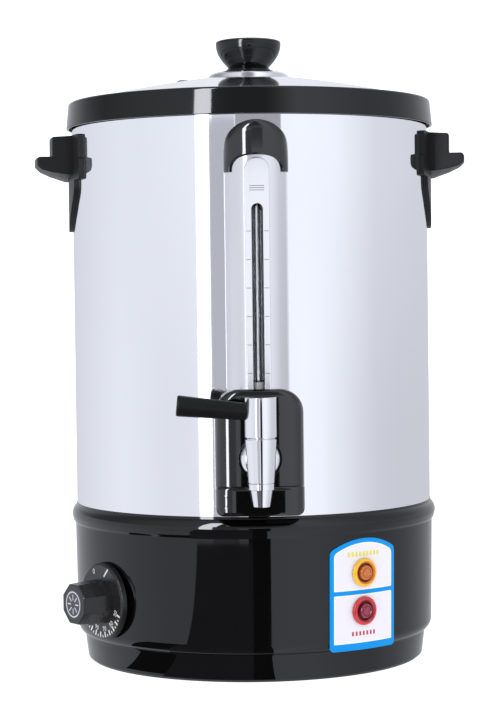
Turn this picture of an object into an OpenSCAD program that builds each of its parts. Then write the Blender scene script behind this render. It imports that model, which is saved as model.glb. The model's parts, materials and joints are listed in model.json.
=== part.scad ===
// Electric hot water urn: a double-walled steel drum on a black heating base,
// with a level gauge, a lever tap, two carrying handles and a lift-off lid.
// Units are millimetres. +Z is up, the origin is the centre of the foot ring's
// underside, the tap faces -Y, and the handles stand out along +X and -X.
// Azimuths are counted from the tap side, positive to the right as seen from it.

/* [Drum and tank] */
// Outside diameter of the outer drum
drum_d = 300; // [240:1:380]
// Height of drum that shows between base and collar
drum_h = 314; // [260:1:400]
// Sheet thickness of the outer drum
drum_wall = 0.8; // [0.5:0.1:1.2]
// Air gap between the tank and the outer drum
tank_gap = 7.2; // [6:0.1:10]
// Sheet thickness of the inner tank
tank_wall = 0.8; // [0.5:0.1:1.2]
// Height of the tank's floor above the top of the base
tank_lift = 18; // [12:0.5:26]

/* [Base] */
// Height of the base
base_h = 132; // [110:1:170]
// Wall thickness of the base
base_wall = 3; // [2:0.1:4.5]
// Height of the bulged band round the top of the base
band_h = 17; // [12:0.5:24]
// How far the band stands out from the drum
band_bulge = 4.2; // [2.5:0.1:6]
// Height of the set-back plinth under the base
plinth_h = 21; // [14:0.5:26]
// How far the plinth is set back from the drum's surface
plinth_set = 5.5; // [3:0.1:9]
// Thickness of rubber that shows under the plinth
foot_t = 1.2; // [0.8:0.1:2.5]

/* [Top collar and lid] */
// Height of the black collar round the mouth
collar_h = 23.6; // [18:0.2:32]
// How far the collar's lower edge stands out from the drum
collar_out = 4.7; // [3.6:0.1:7]
// Rise of the lid's dome from its rim
dome_rise = 24; // [14:0.5:40]
// Diameter of the raised boss in the middle of the lid
boss_d = 68; // [56:1:80]
// Height of the boss
boss_h = 4.6; // [3:0.1:8]
// Sheet thickness of the lid
lid_wall = 0.8; // [0.5:0.1:1.2]
// Largest diameter of the knob
knob_d = 55.2; // [45:0.2:66]
// Height of the knob
knob_h = 26.8; // [22:0.1:34]

/* [Handles] */
// Length of a handle round the drum
handle_w = 90; // [76:1:110]
// Height of the handle's block
handle_h = 34; // [30:1:44]
// How far the grip lip stands out from the drum
grip_reach = 32; // [28:0.5:40]
// Thickness of the plate behind the handle
handle_plate_t = 3.5; // [2.5:0.1:5]

/* [Level gauge] */
// Width of the steel gauge guard
guard_w = 49.5; // [40:0.5:56]
// How far the guard stands out from the drum
guard_depth = 24.8; // [21:0.2:30]
// Width of the viewing slot
slot_w = 8.8; // [6:0.1:11]
// Outside diameter of the sight tube
tube_d = 8; // [6:0.1:9]

/* [Tap] */
// Height of the tap's inlet above the top of the base
tap_lift = 47.7; // [44:0.5:60]
// Distance of the tap's upright axis from the drum
tap_reach = 50; // [46:0.5:62]
// Diameter of the turning bonnet
bonnet_d = 24.4; // [23.4:0.1:30]
// Diameter of the threaded shank
shank_d = 14; // [12:0.1:16]
// Length of the lever from the tap's axis
lever_len = 65; // [50:1:85]
// Stroke of the valve between shut and open
valve_lift = 5; // [3:0.1:6]
// Width of the black surround behind the tap
surround_w = 69; // [62:0.5:80]
// Height of the surround
surround_h = 100; // [94:1:116]
// How far the surround stands out from the drum
surround_depth = 30; // [28:0.5:36]

/* [Controls] */
// Azimuth of the thermostat dial
dial_az = -54.5; // [-75:0.5:-40]
// Diameter of the dial's skirt
dial_d = 62.5; // [50:0.5:72]
// Height of the dial's centre above the table
dial_z = 59; // [54:0.5:66]
// Diameter of the thermostat shaft
dial_shaft_d = 6; // [5:0.1:7]
// Azimuth of the lamp panel
panel_az = 33; // [25:0.5:45]
// Width of the lamp panel
panel_w = 65; // [50:0.5:74]
// Diameter of a lamp's coloured flange
lamp_d = 23; // [18:0.5:26]

/* [Hidden] */
$fn = 96;

// Clearances
cut = 0.02;            // overlap that keeps joined bodies and cuts from leaving a skin
fit_gap = 0.05;        // radial clearance of a part that turns or slides in another
seat_gap = 0.05;       // gap between two pieces that are screwed or clamped together
slip_gap = 0.3;        // gap round a piece that passes freely through a wall
past = 1;              // how far a cutting body runs past the face that it cuts

// Colours
black = [0.05, 0.05, 0.06];
grey_plastic = [0.3, 0.3, 0.32];
steel = [0.82, 0.83, 0.87];
chrome = [0.9, 0.9, 0.93];
brass = [0.8, 0.65, 0.35];
copper = [0.75, 0.5, 0.35];
rubber = [0.16, 0.16, 0.17];
silicone = [0.85, 0.83, 0.8];
ceramic = [0.9, 0.89, 0.84];

// Radii and heights that the pieces share
drum_r = drum_d / 2;
tank_r = drum_r - drum_wall - tank_gap;
shell_seat = 11;                               // how deep the drum stands in the base
shell_z = base_h - shell_seat;
collar_z = base_h + drum_h;
rim_z = collar_z + 13;                         // top edge of the drum, under the tank's flange
floor_z = base_h + tank_lift;
shank_z = base_h + tap_lift;                   // height of the tap's inlet
tap_y = -drum_r - tap_reach;                   // the tap's upright axis

// Points on an arc about (cx, cy) from angle a0 to a1 in n steps
function arc(cx, cy, r, a0, a1, n = 8) =
    [for (i = [0:n]) let (a = a0 + (a1 - a0) * i / n) [cx + r * cos(a), cy + r * sin(a)]];

// Outline of a rounded rectangle with its own radius at the top and the bottom corners
function round_rect(w, z0, z1, r_top, r_bot) = concat(
    arc(w / 2 - r_top, z1 - r_top, r_top, 0, 90),
    arc(-w / 2 + r_top, z1 - r_top, r_top, 90, 180),
    arc(-w / 2 + r_bot, z0 + r_bot, r_bot, 180, 270),
    arc(w / 2 - r_bot, z0 + r_bot, r_bot, 270, 360));

// Turns what is made at the tap side to its azimuth
module around(az) rotate([0, 0, az]) children();

// The same piece n times round the urn's axis
module ring_of(n, start) for (i = [0:n - 1]) rotate([0, 0, start + 360 / n * i]) children();

// Cylinder along Y from y0 to y1
module rod_y(d, y0, y1) translate([0, y0, 0]) rotate([-90, 0, 0]) cylinder(d = d, h = y1 - y0);

// Rod along Y through a wall near radius r, at height z
module wall_hole(d, r, z) translate([0, 0, z]) rod_y(d, -r - 9, -r + 30);

// Upright tube
module pipe(r_out, r_in, z0, z1) {
    translate([0, 0, z0]) difference() {
        cylinder(r = r_out, h = z1 - z0);
        translate([0, 0, -past]) cylinder(r = r_in, h = z1 - z0 + 2 * past);
    }
}

// Outline in the X-Z plane as a slab along Y from y0 to y1
module slab_y(points, y0, y1) {
    translate([0, y1, 0]) rotate([90, 0, 0]) linear_extrude(y1 - y0) polygon(points);
}

// Diameter of the hole that a screw of diameter d bites into, and of one it passes through
function thread_hole(d) = d + 0.1;
function free_hole(d) = d + 0.6;

// Pan-head screw with a cross recess, head upwards, its head's underside at z = 0
module screw(d, len, head_d, head_h) {
    recess_l = 0.6 * head_d;
    recess_w = 0.14 * head_d;
    recess_z = 0.45 * head_h;
    difference() {
        union() {
            cylinder(d = head_d, h = head_h);
            translate([0, 0, -len]) cylinder(d = d, h = len + cut);
        }
        for (a = [0, 90]) rotate([0, 0, a]) translate([-recess_l / 2, -recess_w / 2, recess_z])
            cube([recess_l, recess_w, head_h]);
    }
}

// Faces of a swept tube with n sides, its ends closed
function tube_faces(rings, n) = concat(
    [[for (k = [0:n - 1]) k]],
    [for (i = [0:rings - 1], k = [0:n - 1]) let (a = i * n + k, b = i * n + (k + 1) % n)
        each [[a, b + n, b], [a, a + n, b + n]]],
    [[for (k = [n - 1:-1:0]) rings * n + k]]);

wire_sides = 8;
wire_rings = 28;

// Point at t (0 to 1) on the smooth curve through a list of points
function curve_point(pts, t) = let (
    n = len(pts) - 1, i = min(floor(t * n), n - 1), u = t * n - i,
    p0 = pts[max(i - 1, 0)], p1 = pts[i], p2 = pts[i + 1], p3 = pts[min(i + 2, n)])
    p1 + 0.5 * ((p2 - p0) * u + (2 * p0 - 5 * p1 + 4 * p2 - p3) * u * u
        + (3 * p1 - p0 - 3 * p2 + p3) * u * u * u);

// Corners of the wire's section at t, square to the wire's direction
function wire_ring(pts, t, d) = let (
    a = curve_point(pts, max(t - 0.01, 0)), b = curve_point(pts, min(t + 0.01, 1)),
    dir = (b - a) / norm(b - a), aside = cross(dir, [0.31, 0.42, 0.11]), side = aside / norm(aside),
    up = cross(dir, side))
    [for (k = [0:wire_sides - 1]) let (w = 360 * k / wire_sides)
        curve_point(pts, t) + d / 2 * (cos(w) * side + sin(w) * up)];

// Round wire on the smooth curve through a list of points
module wire(pts, d) {
    polyhedron(
        points = [for (i = [0:wire_rings]) each wire_ring(pts, i / wire_rings, d)],
        faces = tube_faces(wire_rings, wire_sides));
}

// ---------------------------------------------------------------- base

band_z = base_h - band_h;                      // underside of the bulged band
band_r = drum_r + band_bulge;
band_round = 0.56 * band_h;                    // rounding of the band's face
wall_top_r = drum_r + 1.6;                     // main wall just under the band
wall_low_r = drum_r + 0.3;                     // main wall above the lower rounding
low_round = 10;                                // rounding of the main wall into the plinth
low_round_end = -62;                           // angle at which that rounding meets the fold
plinth_r = drum_r - plinth_set;
plinth_low_r = plinth_r - 2.2;
plinth_edge = 1.5;

// Radius of the main wall at a height
function wall_r(z) = let (z0 = plinth_h + low_round)
    wall_low_r + (wall_top_r - wall_low_r) * (z - z0) / (band_z - z0);

// Outside line of the base from the fold up to the band
function main_wall_line() = concat(
    arc(wall_low_r - low_round, plinth_h + low_round, low_round, low_round_end, 0),
    [[wall_top_r, band_z]]);

// Outside line of the whole base
function base_outline() = concat(
    arc(plinth_low_r - plinth_edge, foot_t + plinth_edge, plinth_edge, -90, 0, 4),
    [[plinth_r, plinth_h - 0.5]],
    main_wall_line(),
    [[wall_top_r + 0.5, band_z + 0.8], [band_r - 1, band_z + 2.2]],
    arc(band_r - band_round, band_z + 0.44 * band_h, band_round, -25, 52, 10),
    [[drum_r + slip_gap, base_h]]);

ledge_in = 10;                                 // width of the drum's flange on the base's ledge
ledge_t = 3;
ledge_z = shell_z - seat_gap - ledge_t;
foot_w = 6;
foot_r = plinth_r - 7;                         // middle of the foot ring
foot_deep = 2;                                 // how deep the foot ring sits in its groove
hole_r = foot_r - foot_w / 2 - 3;              // opening in the underside, closed by the bottom cover
cover_z = foot_t + 1;
cover_t = 2.5;
cover_top = cover_z + cover_t + seat_gap;
cover_screws_n = 4;
cover_screw_r = hole_r - 7.5;                  // pitch radius of the bottom cover's screws
cover_screw_d = 3.2;
cover_screw_len = 16;
post_d = 10;
post_len = 24;
post_rib_t = 3;
drum_screws_n = 6;
drum_screw_r = drum_r - 5.6;
drum_screw_d = 4;

// Inside of the base, with the step on which the drum stands
module base_inner_space() {
    flange_top = foot_t + foot_deep + base_wall;
    ledge_r = drum_r - ledge_in - 1;
    ledge_top = ledge_z + ledge_t;
    rotate_extrude() polygon([
        [0, -past], [hole_r, -past], [hole_r, flange_top], [plinth_low_r - base_wall, flange_top],
        [plinth_r - base_wall, plinth_h], [wall_low_r - base_wall - 2, plinth_h + low_round / 2],
        [wall_low_r - base_wall, plinth_h + low_round], [wall_top_r - base_wall, band_z],
        [wall_top_r - base_wall, ledge_z], [ledge_r, ledge_z], [ledge_r, ledge_top],
        [drum_r + slip_gap, ledge_top], [drum_r + slip_gap, base_h + past], [0, base_h + past]]);
}

// Post for a bottom-cover screw, tied to the wall by a rib
module cover_post() {
    wall_in = plinth_r - base_wall + past;
    translate([0, 0, cover_top]) {
        translate([0, -cover_screw_r, 0]) cylinder(d = post_d, h = post_len);
        translate([-post_rib_t / 2, -wall_in, 0]) cube([post_rib_t, wall_in - cover_screw_r, post_len]);
    }
}

// Holes through the wall for the dial's shaft and the thermostat's screws
module dial_holes() {
    wall_hole(dial_shaft_d + 4, drum_r, dial_z);
    for (s = [-1, 1]) translate([s * thermostat_pitch / 2, 0, 0]) {
        wall_hole(free_hole(thermostat_screw_d), drum_r, dial_z);
        translate([0, 0, dial_z]) rod_y(thermostat_head_d + 1, -drum_r - 9, -thermostat_screw_face);
    }
}

module lamp_holes() {
    for (z = [amber_z, red_z]) wall_hole(lamp_barrel_d + 2 * slip_gap, drum_r, z);
}

module inlet_holes() {
    gap = slip_gap;
    slab_y(round_rect(inlet_w + 2 * gap, inlet_z - inlet_h / 2 - gap, inlet_z + inlet_h / 2 + gap, 3, 3),
        -inlet_face - past, -drum_r + 40);
    for (s = [-1, 1]) translate([s * inlet_pitch / 2, 0, 0])
        wall_hole(thread_hole(inlet_screw_d), drum_r, inlet_z);
}

module base_housing() {
    color(black) difference() {
        union() {
            difference() {
                rotate_extrude() polygon(concat([[0, foot_t]], base_outline(), [[0, base_h]]));
                base_inner_space();
            }
            ring_of(cover_screws_n, 45) cover_post();
            around(dial_az) translate([0, 0, dial_z])
                rod_y(thermostat_seat_d, -wall_r(dial_z) + past, -thermostat_face);
            around(180) slab_y(inlet_pad_outline(0), -inlet_face, -inlet_back);
        }
        pipe(foot_r + foot_w / 2 + fit_gap, foot_r - foot_w / 2 - fit_gap, 0, foot_t + foot_deep + seat_gap);
        ring_of(cover_screws_n, 45) translate([0, -cover_screw_r, cover_z])
            cylinder(d = thread_hole(cover_screw_d), h = post_len);
        ring_of(drum_screws_n, 30) translate([0, -drum_screw_r, ledge_z - past])
            cylinder(d = free_hole(drum_screw_d), h = ledge_t + 2 * past);
        around(dial_az) dial_holes();
        around(panel_az) lamp_holes();
        around(180) inlet_holes();
    }
}

module foot_ring() {
    color(rubber) pipe(foot_r + foot_w / 2, foot_r - foot_w / 2, 0, foot_t + foot_deep);
}

// Rings of air slots in the bottom cover
vent_rings = 3;
vent_slots = 12;
vent_ring_r = 50;
vent_ring_step = 16;
vent_slot = [4, 10];

module bottom_cover() {
    color(black) difference() {
        translate([0, 0, cover_z]) cylinder(r = hole_r - slip_gap, h = cover_t);
        translate([0, 0, cover_z - past]) {
            ring_of(cover_screws_n, 45) translate([0, -cover_screw_r, 0])
                cylinder(d = free_hole(cover_screw_d), h = cover_t + 2 * past);
            for (k = [0:vent_rings - 1]) ring_of(vent_slots, 180 / vent_slots * k)
                translate([-vent_slot[0] / 2, -vent_ring_r - vent_ring_step * k, 0])
                    cube([vent_slot[0], vent_slot[1], cover_t + 2 * past]);
        }
    }
}

module cover_screws() {
    color(steel) ring_of(cover_screws_n, 45) translate([0, -cover_screw_r, cover_z - seat_gap])
        mirror([0, 0, 1]) screw(cover_screw_d, cover_screw_len, 8, 2.2);
}

// ---------------------------------------------------------------- drum and tank

tee_d = 20;                                    // part of the outlet tee that passes the drum's wall
tank_corner = 6;
flange_z = rim_z + seat_gap;                   // underside of the tank's flange, on the drum's edge

module drum_shell() {
    color(steel) difference() {
        rotate_extrude() polygon([
            [drum_r - ledge_in, shell_z], [drum_r, shell_z], [drum_r, rim_z], [drum_r - drum_wall, rim_z],
            [drum_r - drum_wall, shell_z + drum_wall], [drum_r - ledge_in, shell_z + drum_wall]]);
        wall_hole(tee_d + 2 * slip_gap, drum_r, shank_z);
        ring_of(drum_screws_n, 30) translate([0, -drum_screw_r, shell_z - past])
            cylinder(d = free_hole(drum_screw_d), h = drum_wall + 2 * past);
        for (p = surround_screw_points()) translate([p[0], 0, 0])
            wall_hole(free_hole(surround_screw_d), drum_r, p[1]);
        wall_hole(free_hole(fitting_screw_d), drum_r, fitting_screw_z);
        for (side = [-1, 1], y = handle_screw_y) translate([side * (drum_r - 20), y, handle_screw_z])
            rotate([0, side * 90, 0]) cylinder(d = free_hole(handle_screw_d), h = 30);
    }
}

module drum_screws() {
    color(steel) ring_of(drum_screws_n, 30) translate([0, -drum_screw_r, shell_z + drum_wall + seat_gap])
        screw(drum_screw_d, 8, 7, 2.4);
}

// Tank with its flange on the drum's edge and a stud under its floor
module tank() {
    color(steel) difference() {
        union() {
            rotate_extrude() polygon(concat(
                [[0, floor_z]],
                arc(tank_r - tank_corner, floor_z + tank_corner, tank_corner, -90, 0),
                [[tank_r, flange_z], [drum_r, flange_z], [drum_r, flange_z + tank_wall],
                 [tank_r - tank_wall, flange_z + tank_wall]],
                arc(tank_r - tank_corner, floor_z + tank_corner, tank_corner - tank_wall, 0, -90),
                [[0, floor_z + tank_wall]]));
            translate([0, 0, stud_end]) cylinder(d = stud_d, h = floor_z - stud_end + tank_wall / 2);
        }
        translate([0, 0, shank_z]) rod_y(shank_d + 2 * slip_gap, -tank_r - past, -tank_r + 30);
    }
}

// ---------------------------------------------------------------- collar and lid

gasket_t = 1.1;
gasket_z = flange_z + tank_wall + seat_gap;
gasket_top = gasket_z + gasket_t + seat_gap;
collar_top = collar_z + collar_h;
collar_in = drum_r - 1.1;                      // wall that the lid stands in
collar_t = 2.3;
collar_lean = 1.8;                             // how much narrower the collar is at its top
collar_edge = 2.5;                             // rounding of the top's outer edge

// Collar: it grips the drum's edge and the tank's flange, and the lid stands in it
module top_collar() {
    low_r = drum_r + collar_out;
    color(black) rotate_extrude() polygon(concat(
        [[low_r, collar_z], [low_r - collar_lean, collar_top - collar_edge]],
        arc(low_r - collar_lean - collar_edge, collar_top - collar_edge, collar_edge, 5, 90, 6),
        arc(collar_in + 1, collar_top - 1, 1, 90, 180, 4),
        [[collar_in, gasket_top], [drum_r + slip_gap, gasket_top], [drum_r + slip_gap, collar_z + 6],
         [low_r - collar_t, collar_z + 5], [low_r - collar_t, collar_z]]));
}

module rim_gasket() {
    color(silicone) pipe(drum_r - seat_gap, tank_r + 1, gasket_z, gasket_z + gasket_t);
}

lid_gap = 0.5;                                 // gap round the lid in the collar
lid_r = collar_in - lid_gap;
lid_edge_z = collar_top - 2.8;
lid_round = 1.6;
dome_r = lid_r - lid_round;
boss_top_r = 20.5;                             // flat in the middle of the boss, under the knob
ring_r = tank_r - tank_wall - 0.8;             // locating ring that hangs into the tank
ring_drop = 10;

// Height of the dome over radius
function dome_z(r) = lid_edge_z + dome_rise * (1 - pow(r / dome_r, 2));

boss_r = boss_d / 2;
boss_z = dome_z(boss_r);
lid_top = boss_z + boss_h;

// The lid's top surface from its middle to its rim
function lid_line() = concat(
    [[0, lid_top], [boss_top_r, lid_top]],
    [for (t = [15:15:90]) [boss_top_r + (boss_r - boss_top_r) * sin(t), boss_z + boss_h * cos(t)]],
    [for (i = [1:24]) let (r = boss_r + (dome_r - boss_r) * i / 24) [r, dome_z(r)]],
    arc(dome_r, lid_edge_z - lid_round, lid_round, 60, 0, 4));

// The lid's section: its top line, its rim, and the same line one wall further in
function lid_section() = let (top = lid_line(), rim = len(top) - 6) concat(
    top, [[lid_r, gasket_top], [lid_r - lid_wall, gasket_top]],
    [for (i = [len(top) - 1:-1:0])
        [max(top[i][0] - (i < rim ? 0 : lid_wall), 0), top[i][1] - lid_wall]]);

module lid_dome() {
    color(steel) difference() {
        union() {
            rotate_extrude() polygon(lid_section());
            pipe(ring_r, ring_r - lid_wall, gasket_top - ring_drop, dome_z(ring_r) - lid_wall / 2);
        }
        translate([0, 0, lid_top - 5]) cylinder(d = knob_screw_d + 0.4, h = 10);
        translate([-vent_x, 0, lid_top - 40]) cylinder(d = vent_d, h = 60);
    }
}

knob_z = lid_top + seat_gap;
knob_r = knob_d / 2;
knob_foot_r = 19.7;
knob_neck_r = 15.6;
knob_neck_z = 5.2;
knob_screw_d = 5;
knob_screw_len = 14;

// The knob's outside from its foot over the neck to its flat top
function knob_line() = concat(
    [[0, 0], [knob_foot_r - 0.2, 0], [knob_foot_r, 0.6]],
    arc(knob_foot_r, 4.6, 4, 260, 180, 6),
    [for (t = [9:9:90]) [knob_neck_r + (knob_r - knob_neck_r) * sin(t),
        knob_neck_z + (knob_h - knob_neck_z - 3.8) * (1 - cos(t))]],
    [[knob_r - 0.3, knob_h - 2.4], [knob_r - 1.6, knob_h - 1.2], [knob_r - 4, knob_h - 0.5],
     [knob_r / 2, knob_h - 0.1], [0, knob_h]]);

module lid_knob() {
    color(black) difference() {
        translate([0, 0, knob_z]) rotate_extrude() polygon(knob_line());
        translate([0, 0, knob_z - past]) cylinder(d = thread_hole(knob_screw_d), h = knob_screw_len + 3);
    }
}

module knob_screw() {
    color(steel) translate([0, 0, lid_top - lid_wall - seat_gap])
        mirror([0, 0, 1]) screw(knob_screw_d, knob_screw_len, 10, 3);
}

vent_x = 55;
vent_d = 8;
vent_hole_d = 3.4;

// Steam vent: a hollow rivet through the dome
module lid_vent() {
    color(steel) translate([-vent_x, 0, dome_z(vent_x)]) difference() {
        union() {
            translate([0, 0, -3.4]) cylinder(d = vent_d - 0.2, h = 5);
            translate([0, 0, 0.9]) cylinder(d1 = vent_d + 4.4, d2 = vent_d + 0.4, h = 1.6);
            translate([0, 0, -3.9]) cylinder(d = vent_d + 3, h = 1.2);
        }
        translate([0, 0, -5]) cylinder(d = vent_hole_d, h = 10);
    }
}

// ---------------------------------------------------------------- handles

handle_top = collar_z - 8;
handle_low = handle_top - handle_h - 2;
plate_top = handle_top - 0.6;
grip_t = 9.5;
grip_z = handle_top - handle_h / 2 + 0.5;      // top of the lip
grip_bulge_r = 205;                            // plan radius of the lip's curved edge
handle_axis_x = drum_r + grip_reach - grip_bulge_r;
grip_half = asin(handle_w / 2 / grip_bulge_r); // half the angle that the lip takes up
block_out = 19;                                // how far the block stands out from the drum
handle_wall = 3;
tail_drop = 42;                                // length of the plate's tail under the block
handle_screw_d = 3.8;
handle_screw_len = 14;
handle_screw_z = handle_top - 10;
handle_screw_y = [-24, 24];
handle_boss_d = 10;

// Section of block and lip, as radius from the handle's own plan centre
function handle_section() = let (
    r0 = drum_r - handle_axis_x, r1 = r0 + grip_reach, low = grip_z - grip_t) concat(
    [[r0 - 6, handle_low + 1], [r0 - 6, handle_top], [r0 + block_out - 1.2, handle_top],
     [r0 + block_out, handle_top - 1.2], [r0 + block_out, grip_z]],
    arc(r1 - 2.5, grip_z - 2.5, 2.5, 90, 0, 5),
    [[r1 - 0.6, low + 2], [r1 - 4, low - 1.2], [r1 - 12, low - 5], [r1 - 20, low - 7.8],
     [r0 + 7, handle_low]]);

// Right half of the plate's outline, half width over height
function plate_half() = let (w = handle_w / 2 + 14, t = handle_w / 2 + 1, z0 = handle_low - tail_drop)
    [[w - 1.5, plate_top], [w - 1.5, handle_low + 17.5], [w, handle_low + 16], [w, handle_low + 2],
     [w - 2, handle_low], [t, handle_low], [t - 1.5, z0 + 32], [t - 8.5, z0 + 23], [t - 19, z0 + 12],
     [t - 33, z0 + 2.2], [t - 39, z0]];

function plate_outline() = let (half = plate_half()) concat(
    half, [for (i = [len(half) - 1:-1:0]) [-half[i][0], half[i][1]]]);

module handle_block() {
    translate([handle_axis_x, 0, 0]) rotate([0, 0, -grip_half])
        rotate_extrude(angle = 2 * grip_half) polygon(handle_section());
}

// Hollow behind the block, open towards the drum and closed at its ends and its top
module handle_core() {
    r0 = drum_r - handle_axis_x;
    r1 = r0 + block_out - handle_wall;
    end = 1;                                   // angle taken up by an end wall
    translate([handle_axis_x, 0, 0]) rotate([0, 0, -grip_half + end])
        rotate_extrude(angle = 2 * (grip_half - end)) polygon([
            [r0 - 7, handle_top - handle_wall], [r1, handle_top - handle_wall],
            [r1, handle_low + 6], [r0 - 7, handle_low + 6]]);
}

// Places a rod along X at each of a handle's screws
module at_handle_screws(x) {
    for (y = handle_screw_y) translate([x, y, handle_screw_z]) rotate([0, 90, 0]) children();
}

// Handle on the +X side
module handle() {
    difference() {
        union() {
            intersection() {
                rotate([0, 0, 90]) slab_y(plate_outline(), -drum_r - handle_plate_t - past, -drum_r / 2);
                pipe(drum_r + handle_plate_t, drum_r - 2, handle_low - tail_drop - past, handle_top + past);
            }
            difference() {
                handle_block();
                handle_core();
            }
            intersection() {
                handle_block();
                at_handle_screws(drum_r - 4) cylinder(d = handle_boss_d, h = block_out - 1);
            }
        }
        translate([0, 0, handle_low - tail_drop - 2])
            cylinder(r = drum_r + seat_gap, h = handle_h + tail_drop + 20);
        at_handle_screws(drum_r - 20)
            cylinder(d = thread_hole(handle_screw_d), h = 20 + handle_screw_len - 2);
    }
}

module handle_right() { color(black) handle(); }
module handle_left() { color(black) mirror([1, 0, 0]) handle(); }

module handle_screws() {
    head_r = 3.5;
    color(steel) for (side = [-1, 1], y = handle_screw_y)
        let (x = sqrt(pow(drum_r - drum_wall, 2) - pow(abs(y) + head_r, 2)) - seat_gap)
        translate([side * x, y, handle_screw_z]) rotate([0, -side * 90, 0])
            screw(handle_screw_d, handle_screw_len, 2 * head_r, 2.2);
}

// ---------------------------------------------------------------- level gauge

surround_z = base_h + 1;
surround_top = surround_z + surround_h;
guard_t = 1;
guard_z = surround_top - 9;                    // the guard's foot stands inside the surround
strip_w = 18.7;
strip_t = 0.7;
cap_t = 2;
cap_w = guard_w + 1.3;
cap_top = collar_z - 5.6;
cap_arch = cap_top - cap_w / 2;                // centre of the cap's round top
cap_leg = cap_arch - 15;
cap_foot = 1.5;                                // chamfer at the foot of the cap's legs
cap_window = cap_top - 29.8;
guard_top = cap_top - 7;
slot_top = cap_top - 65;
strip_top = cap_top - 32;
tube_y = -drum_r - 14;
seal_t = 1.5;
seal_low = surround_top - 19;
seal_r = tube_d / 2 + seal_t;
seal_squeeze = 0.02;                           // the seals touch the tube within this

// Plan section of the guard, a half round offset outwards by d
function guard_plan(d) = [for (i = [0:24]) let (t = 180 * i / 24)
    [(guard_w / 2 + d) * cos(t), -drum_r + 2 - (guard_depth + 0.5 + d) * pow(sin(t), 0.8)]];

module guard_solid(d, z0, z1) {
    translate([0, 0, z0]) linear_extrude(z1 - z0) polygon(concat(
        guard_plan(d), [[-guard_w / 2 - d, -drum_r + 8], [guard_w / 2 + d, -drum_r + 8]]));
}

// Flat strip pressed out of the guard's front
module guard_strip(d) {
    slab_y(round_rect(strip_w + 2 * d, guard_z, strip_top, strip_w / 2 - 0.01, 0.5),
        -drum_r - guard_depth + 1.5 - strip_t - d, -drum_r - guard_depth + 4);
}

// What the drum takes up, so that a piece that leans on it is hollowed to its round
module drum_space() translate([0, 0, shell_z]) cylinder(r = drum_r + seat_gap, h = rim_z - shell_z);

// Outline under the cap's round top, inset by d
function cap_arch_line(d) = concat(
    arc(0, cap_arch, cap_w / 2 - d, 0, 180, 24),
    [[-guard_w, cap_arch], [-guard_w, cap_leg - 2], [guard_w, cap_leg - 2], [guard_w, cap_arch]]);

// Outline of the cap from the front
function cap_line() = let (w = cap_w / 2) concat(
    arc(0, cap_arch, w, 0, 180, 24),
    [[-w, cap_leg + cap_foot], [-w + cap_foot, cap_leg], [w - cap_foot, cap_leg], [w, cap_leg + cap_foot]]);

module gauge_guard() {
    color(chrome) difference() {
        union() {
            guard_solid(0, guard_z, guard_top);
            guard_strip(0);
        }
        translate([0, 0, -past]) guard_solid(-guard_t, guard_z, guard_top + 2 * past);
        difference() {
            translate([-guard_w, -drum_r - 60, cap_arch - past]) cube([2 * guard_w, 80, cap_w]);
            slab_y(cap_arch_line(cap_t + seat_gap), -drum_r - 60, -drum_r + 10);
        }
        drum_space();
        slab_y(round_rect(slot_w, guard_z - 20, slot_top, slot_w / 2 - 0.01, 1),
            -drum_r - 60, -drum_r - guard_depth + 6);
    }
}

module gauge_cap() {
    color(black) difference() {
        intersection() {
            guard_solid(cap_t, cap_leg, cap_top);
            slab_y(cap_line(), -drum_r - 60, -drum_r + 10);
        }
        intersection() {
            guard_solid(seat_gap, cap_leg - past, guard_top + 0.5);
            slab_y(cap_arch_line(cap_t), -drum_r - 60, -drum_r + 10);
        }
        slab_y(round_rect(guard_w - 7.7, cap_leg - 20, cap_window, 8.5, 1), -drum_r - 60, -drum_r);
        drum_space();
    }
}

fitting_z = cap_arch - 11;
fitting_w = 16;
fitting_h = 17;
fitting_front = 6.3;                           // from the tube's axis to the fitting's front
fitting_screw_z = fitting_z + 13;
fitting_screw_d = 2.8;
socket_deep = 9;
air_hole_d = 3;
tube_low = seal_low - 1;
tube_high = fitting_z + socket_deep - 1;
tube_wall = 1.2;

module sight_tube() {
    color([0.8, 0.85, 0.9, 0.5]) translate([0, tube_y, 0])
        pipe(tube_d / 2, tube_d / 2 - tube_wall, tube_low, tube_high);
}

module tube_seals() {
    color(silicone) translate([0, tube_y, 0]) {
        pipe(seal_r, tube_d / 2 + seal_squeeze, seal_low, surround_top + 5);
        pipe(seal_r, tube_d / 2 + seal_squeeze, fitting_z - 2, fitting_z + socket_deep - 1.5);
    }
}

// Holds the tube's upper end, and lets air in over the water
module gauge_top_fitting() {
    color(grey_plastic) difference() {
        translate([-fitting_w / 2, tube_y - fitting_front, fitting_z])
            cube([fitting_w, -tube_y + fitting_front - drum_r + 4, fitting_h]);
        translate([0, tube_y, fitting_z - past]) {
            cylinder(r = seal_r + fit_gap, h = socket_deep + past);
            cylinder(d = air_hole_d, h = fitting_h + 2 * past);
        }
        translate([0, 0, fitting_screw_z]) rod_y(thread_hole(fitting_screw_d), tube_y + 4.5, -drum_r + 6);
        drum_space();
    }
}

module fitting_screws() {
    color(steel) translate([0, -drum_r + drum_wall + 3 * seat_gap, fitting_screw_z]) rotate([-90, 0, 0])
        screw(fitting_screw_d, 9, 6, 2);
}

// ---------------------------------------------------------------- outlet through the walls

gasket_flat = tank_r + 2;                      // flat outer face of the gasket under the tee
tee_front = drum_r + surround_depth - 4.3;
tee_head_d = 24;
tee_wall = 1.6;
nut_af = 22;
nut_t = 7;
washer_d = 1.24 * nut_af;
washer_t = 1.8;
nut_face = sqrt(pow(tank_r - tank_wall, 2) - pow(washer_d / 2, 2)) - washer_t;
gauge_hole_d = 5;                              // way from the outlet up into the sight tube
shank_hole_d = shank_d + 2 * fit_gap;

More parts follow.
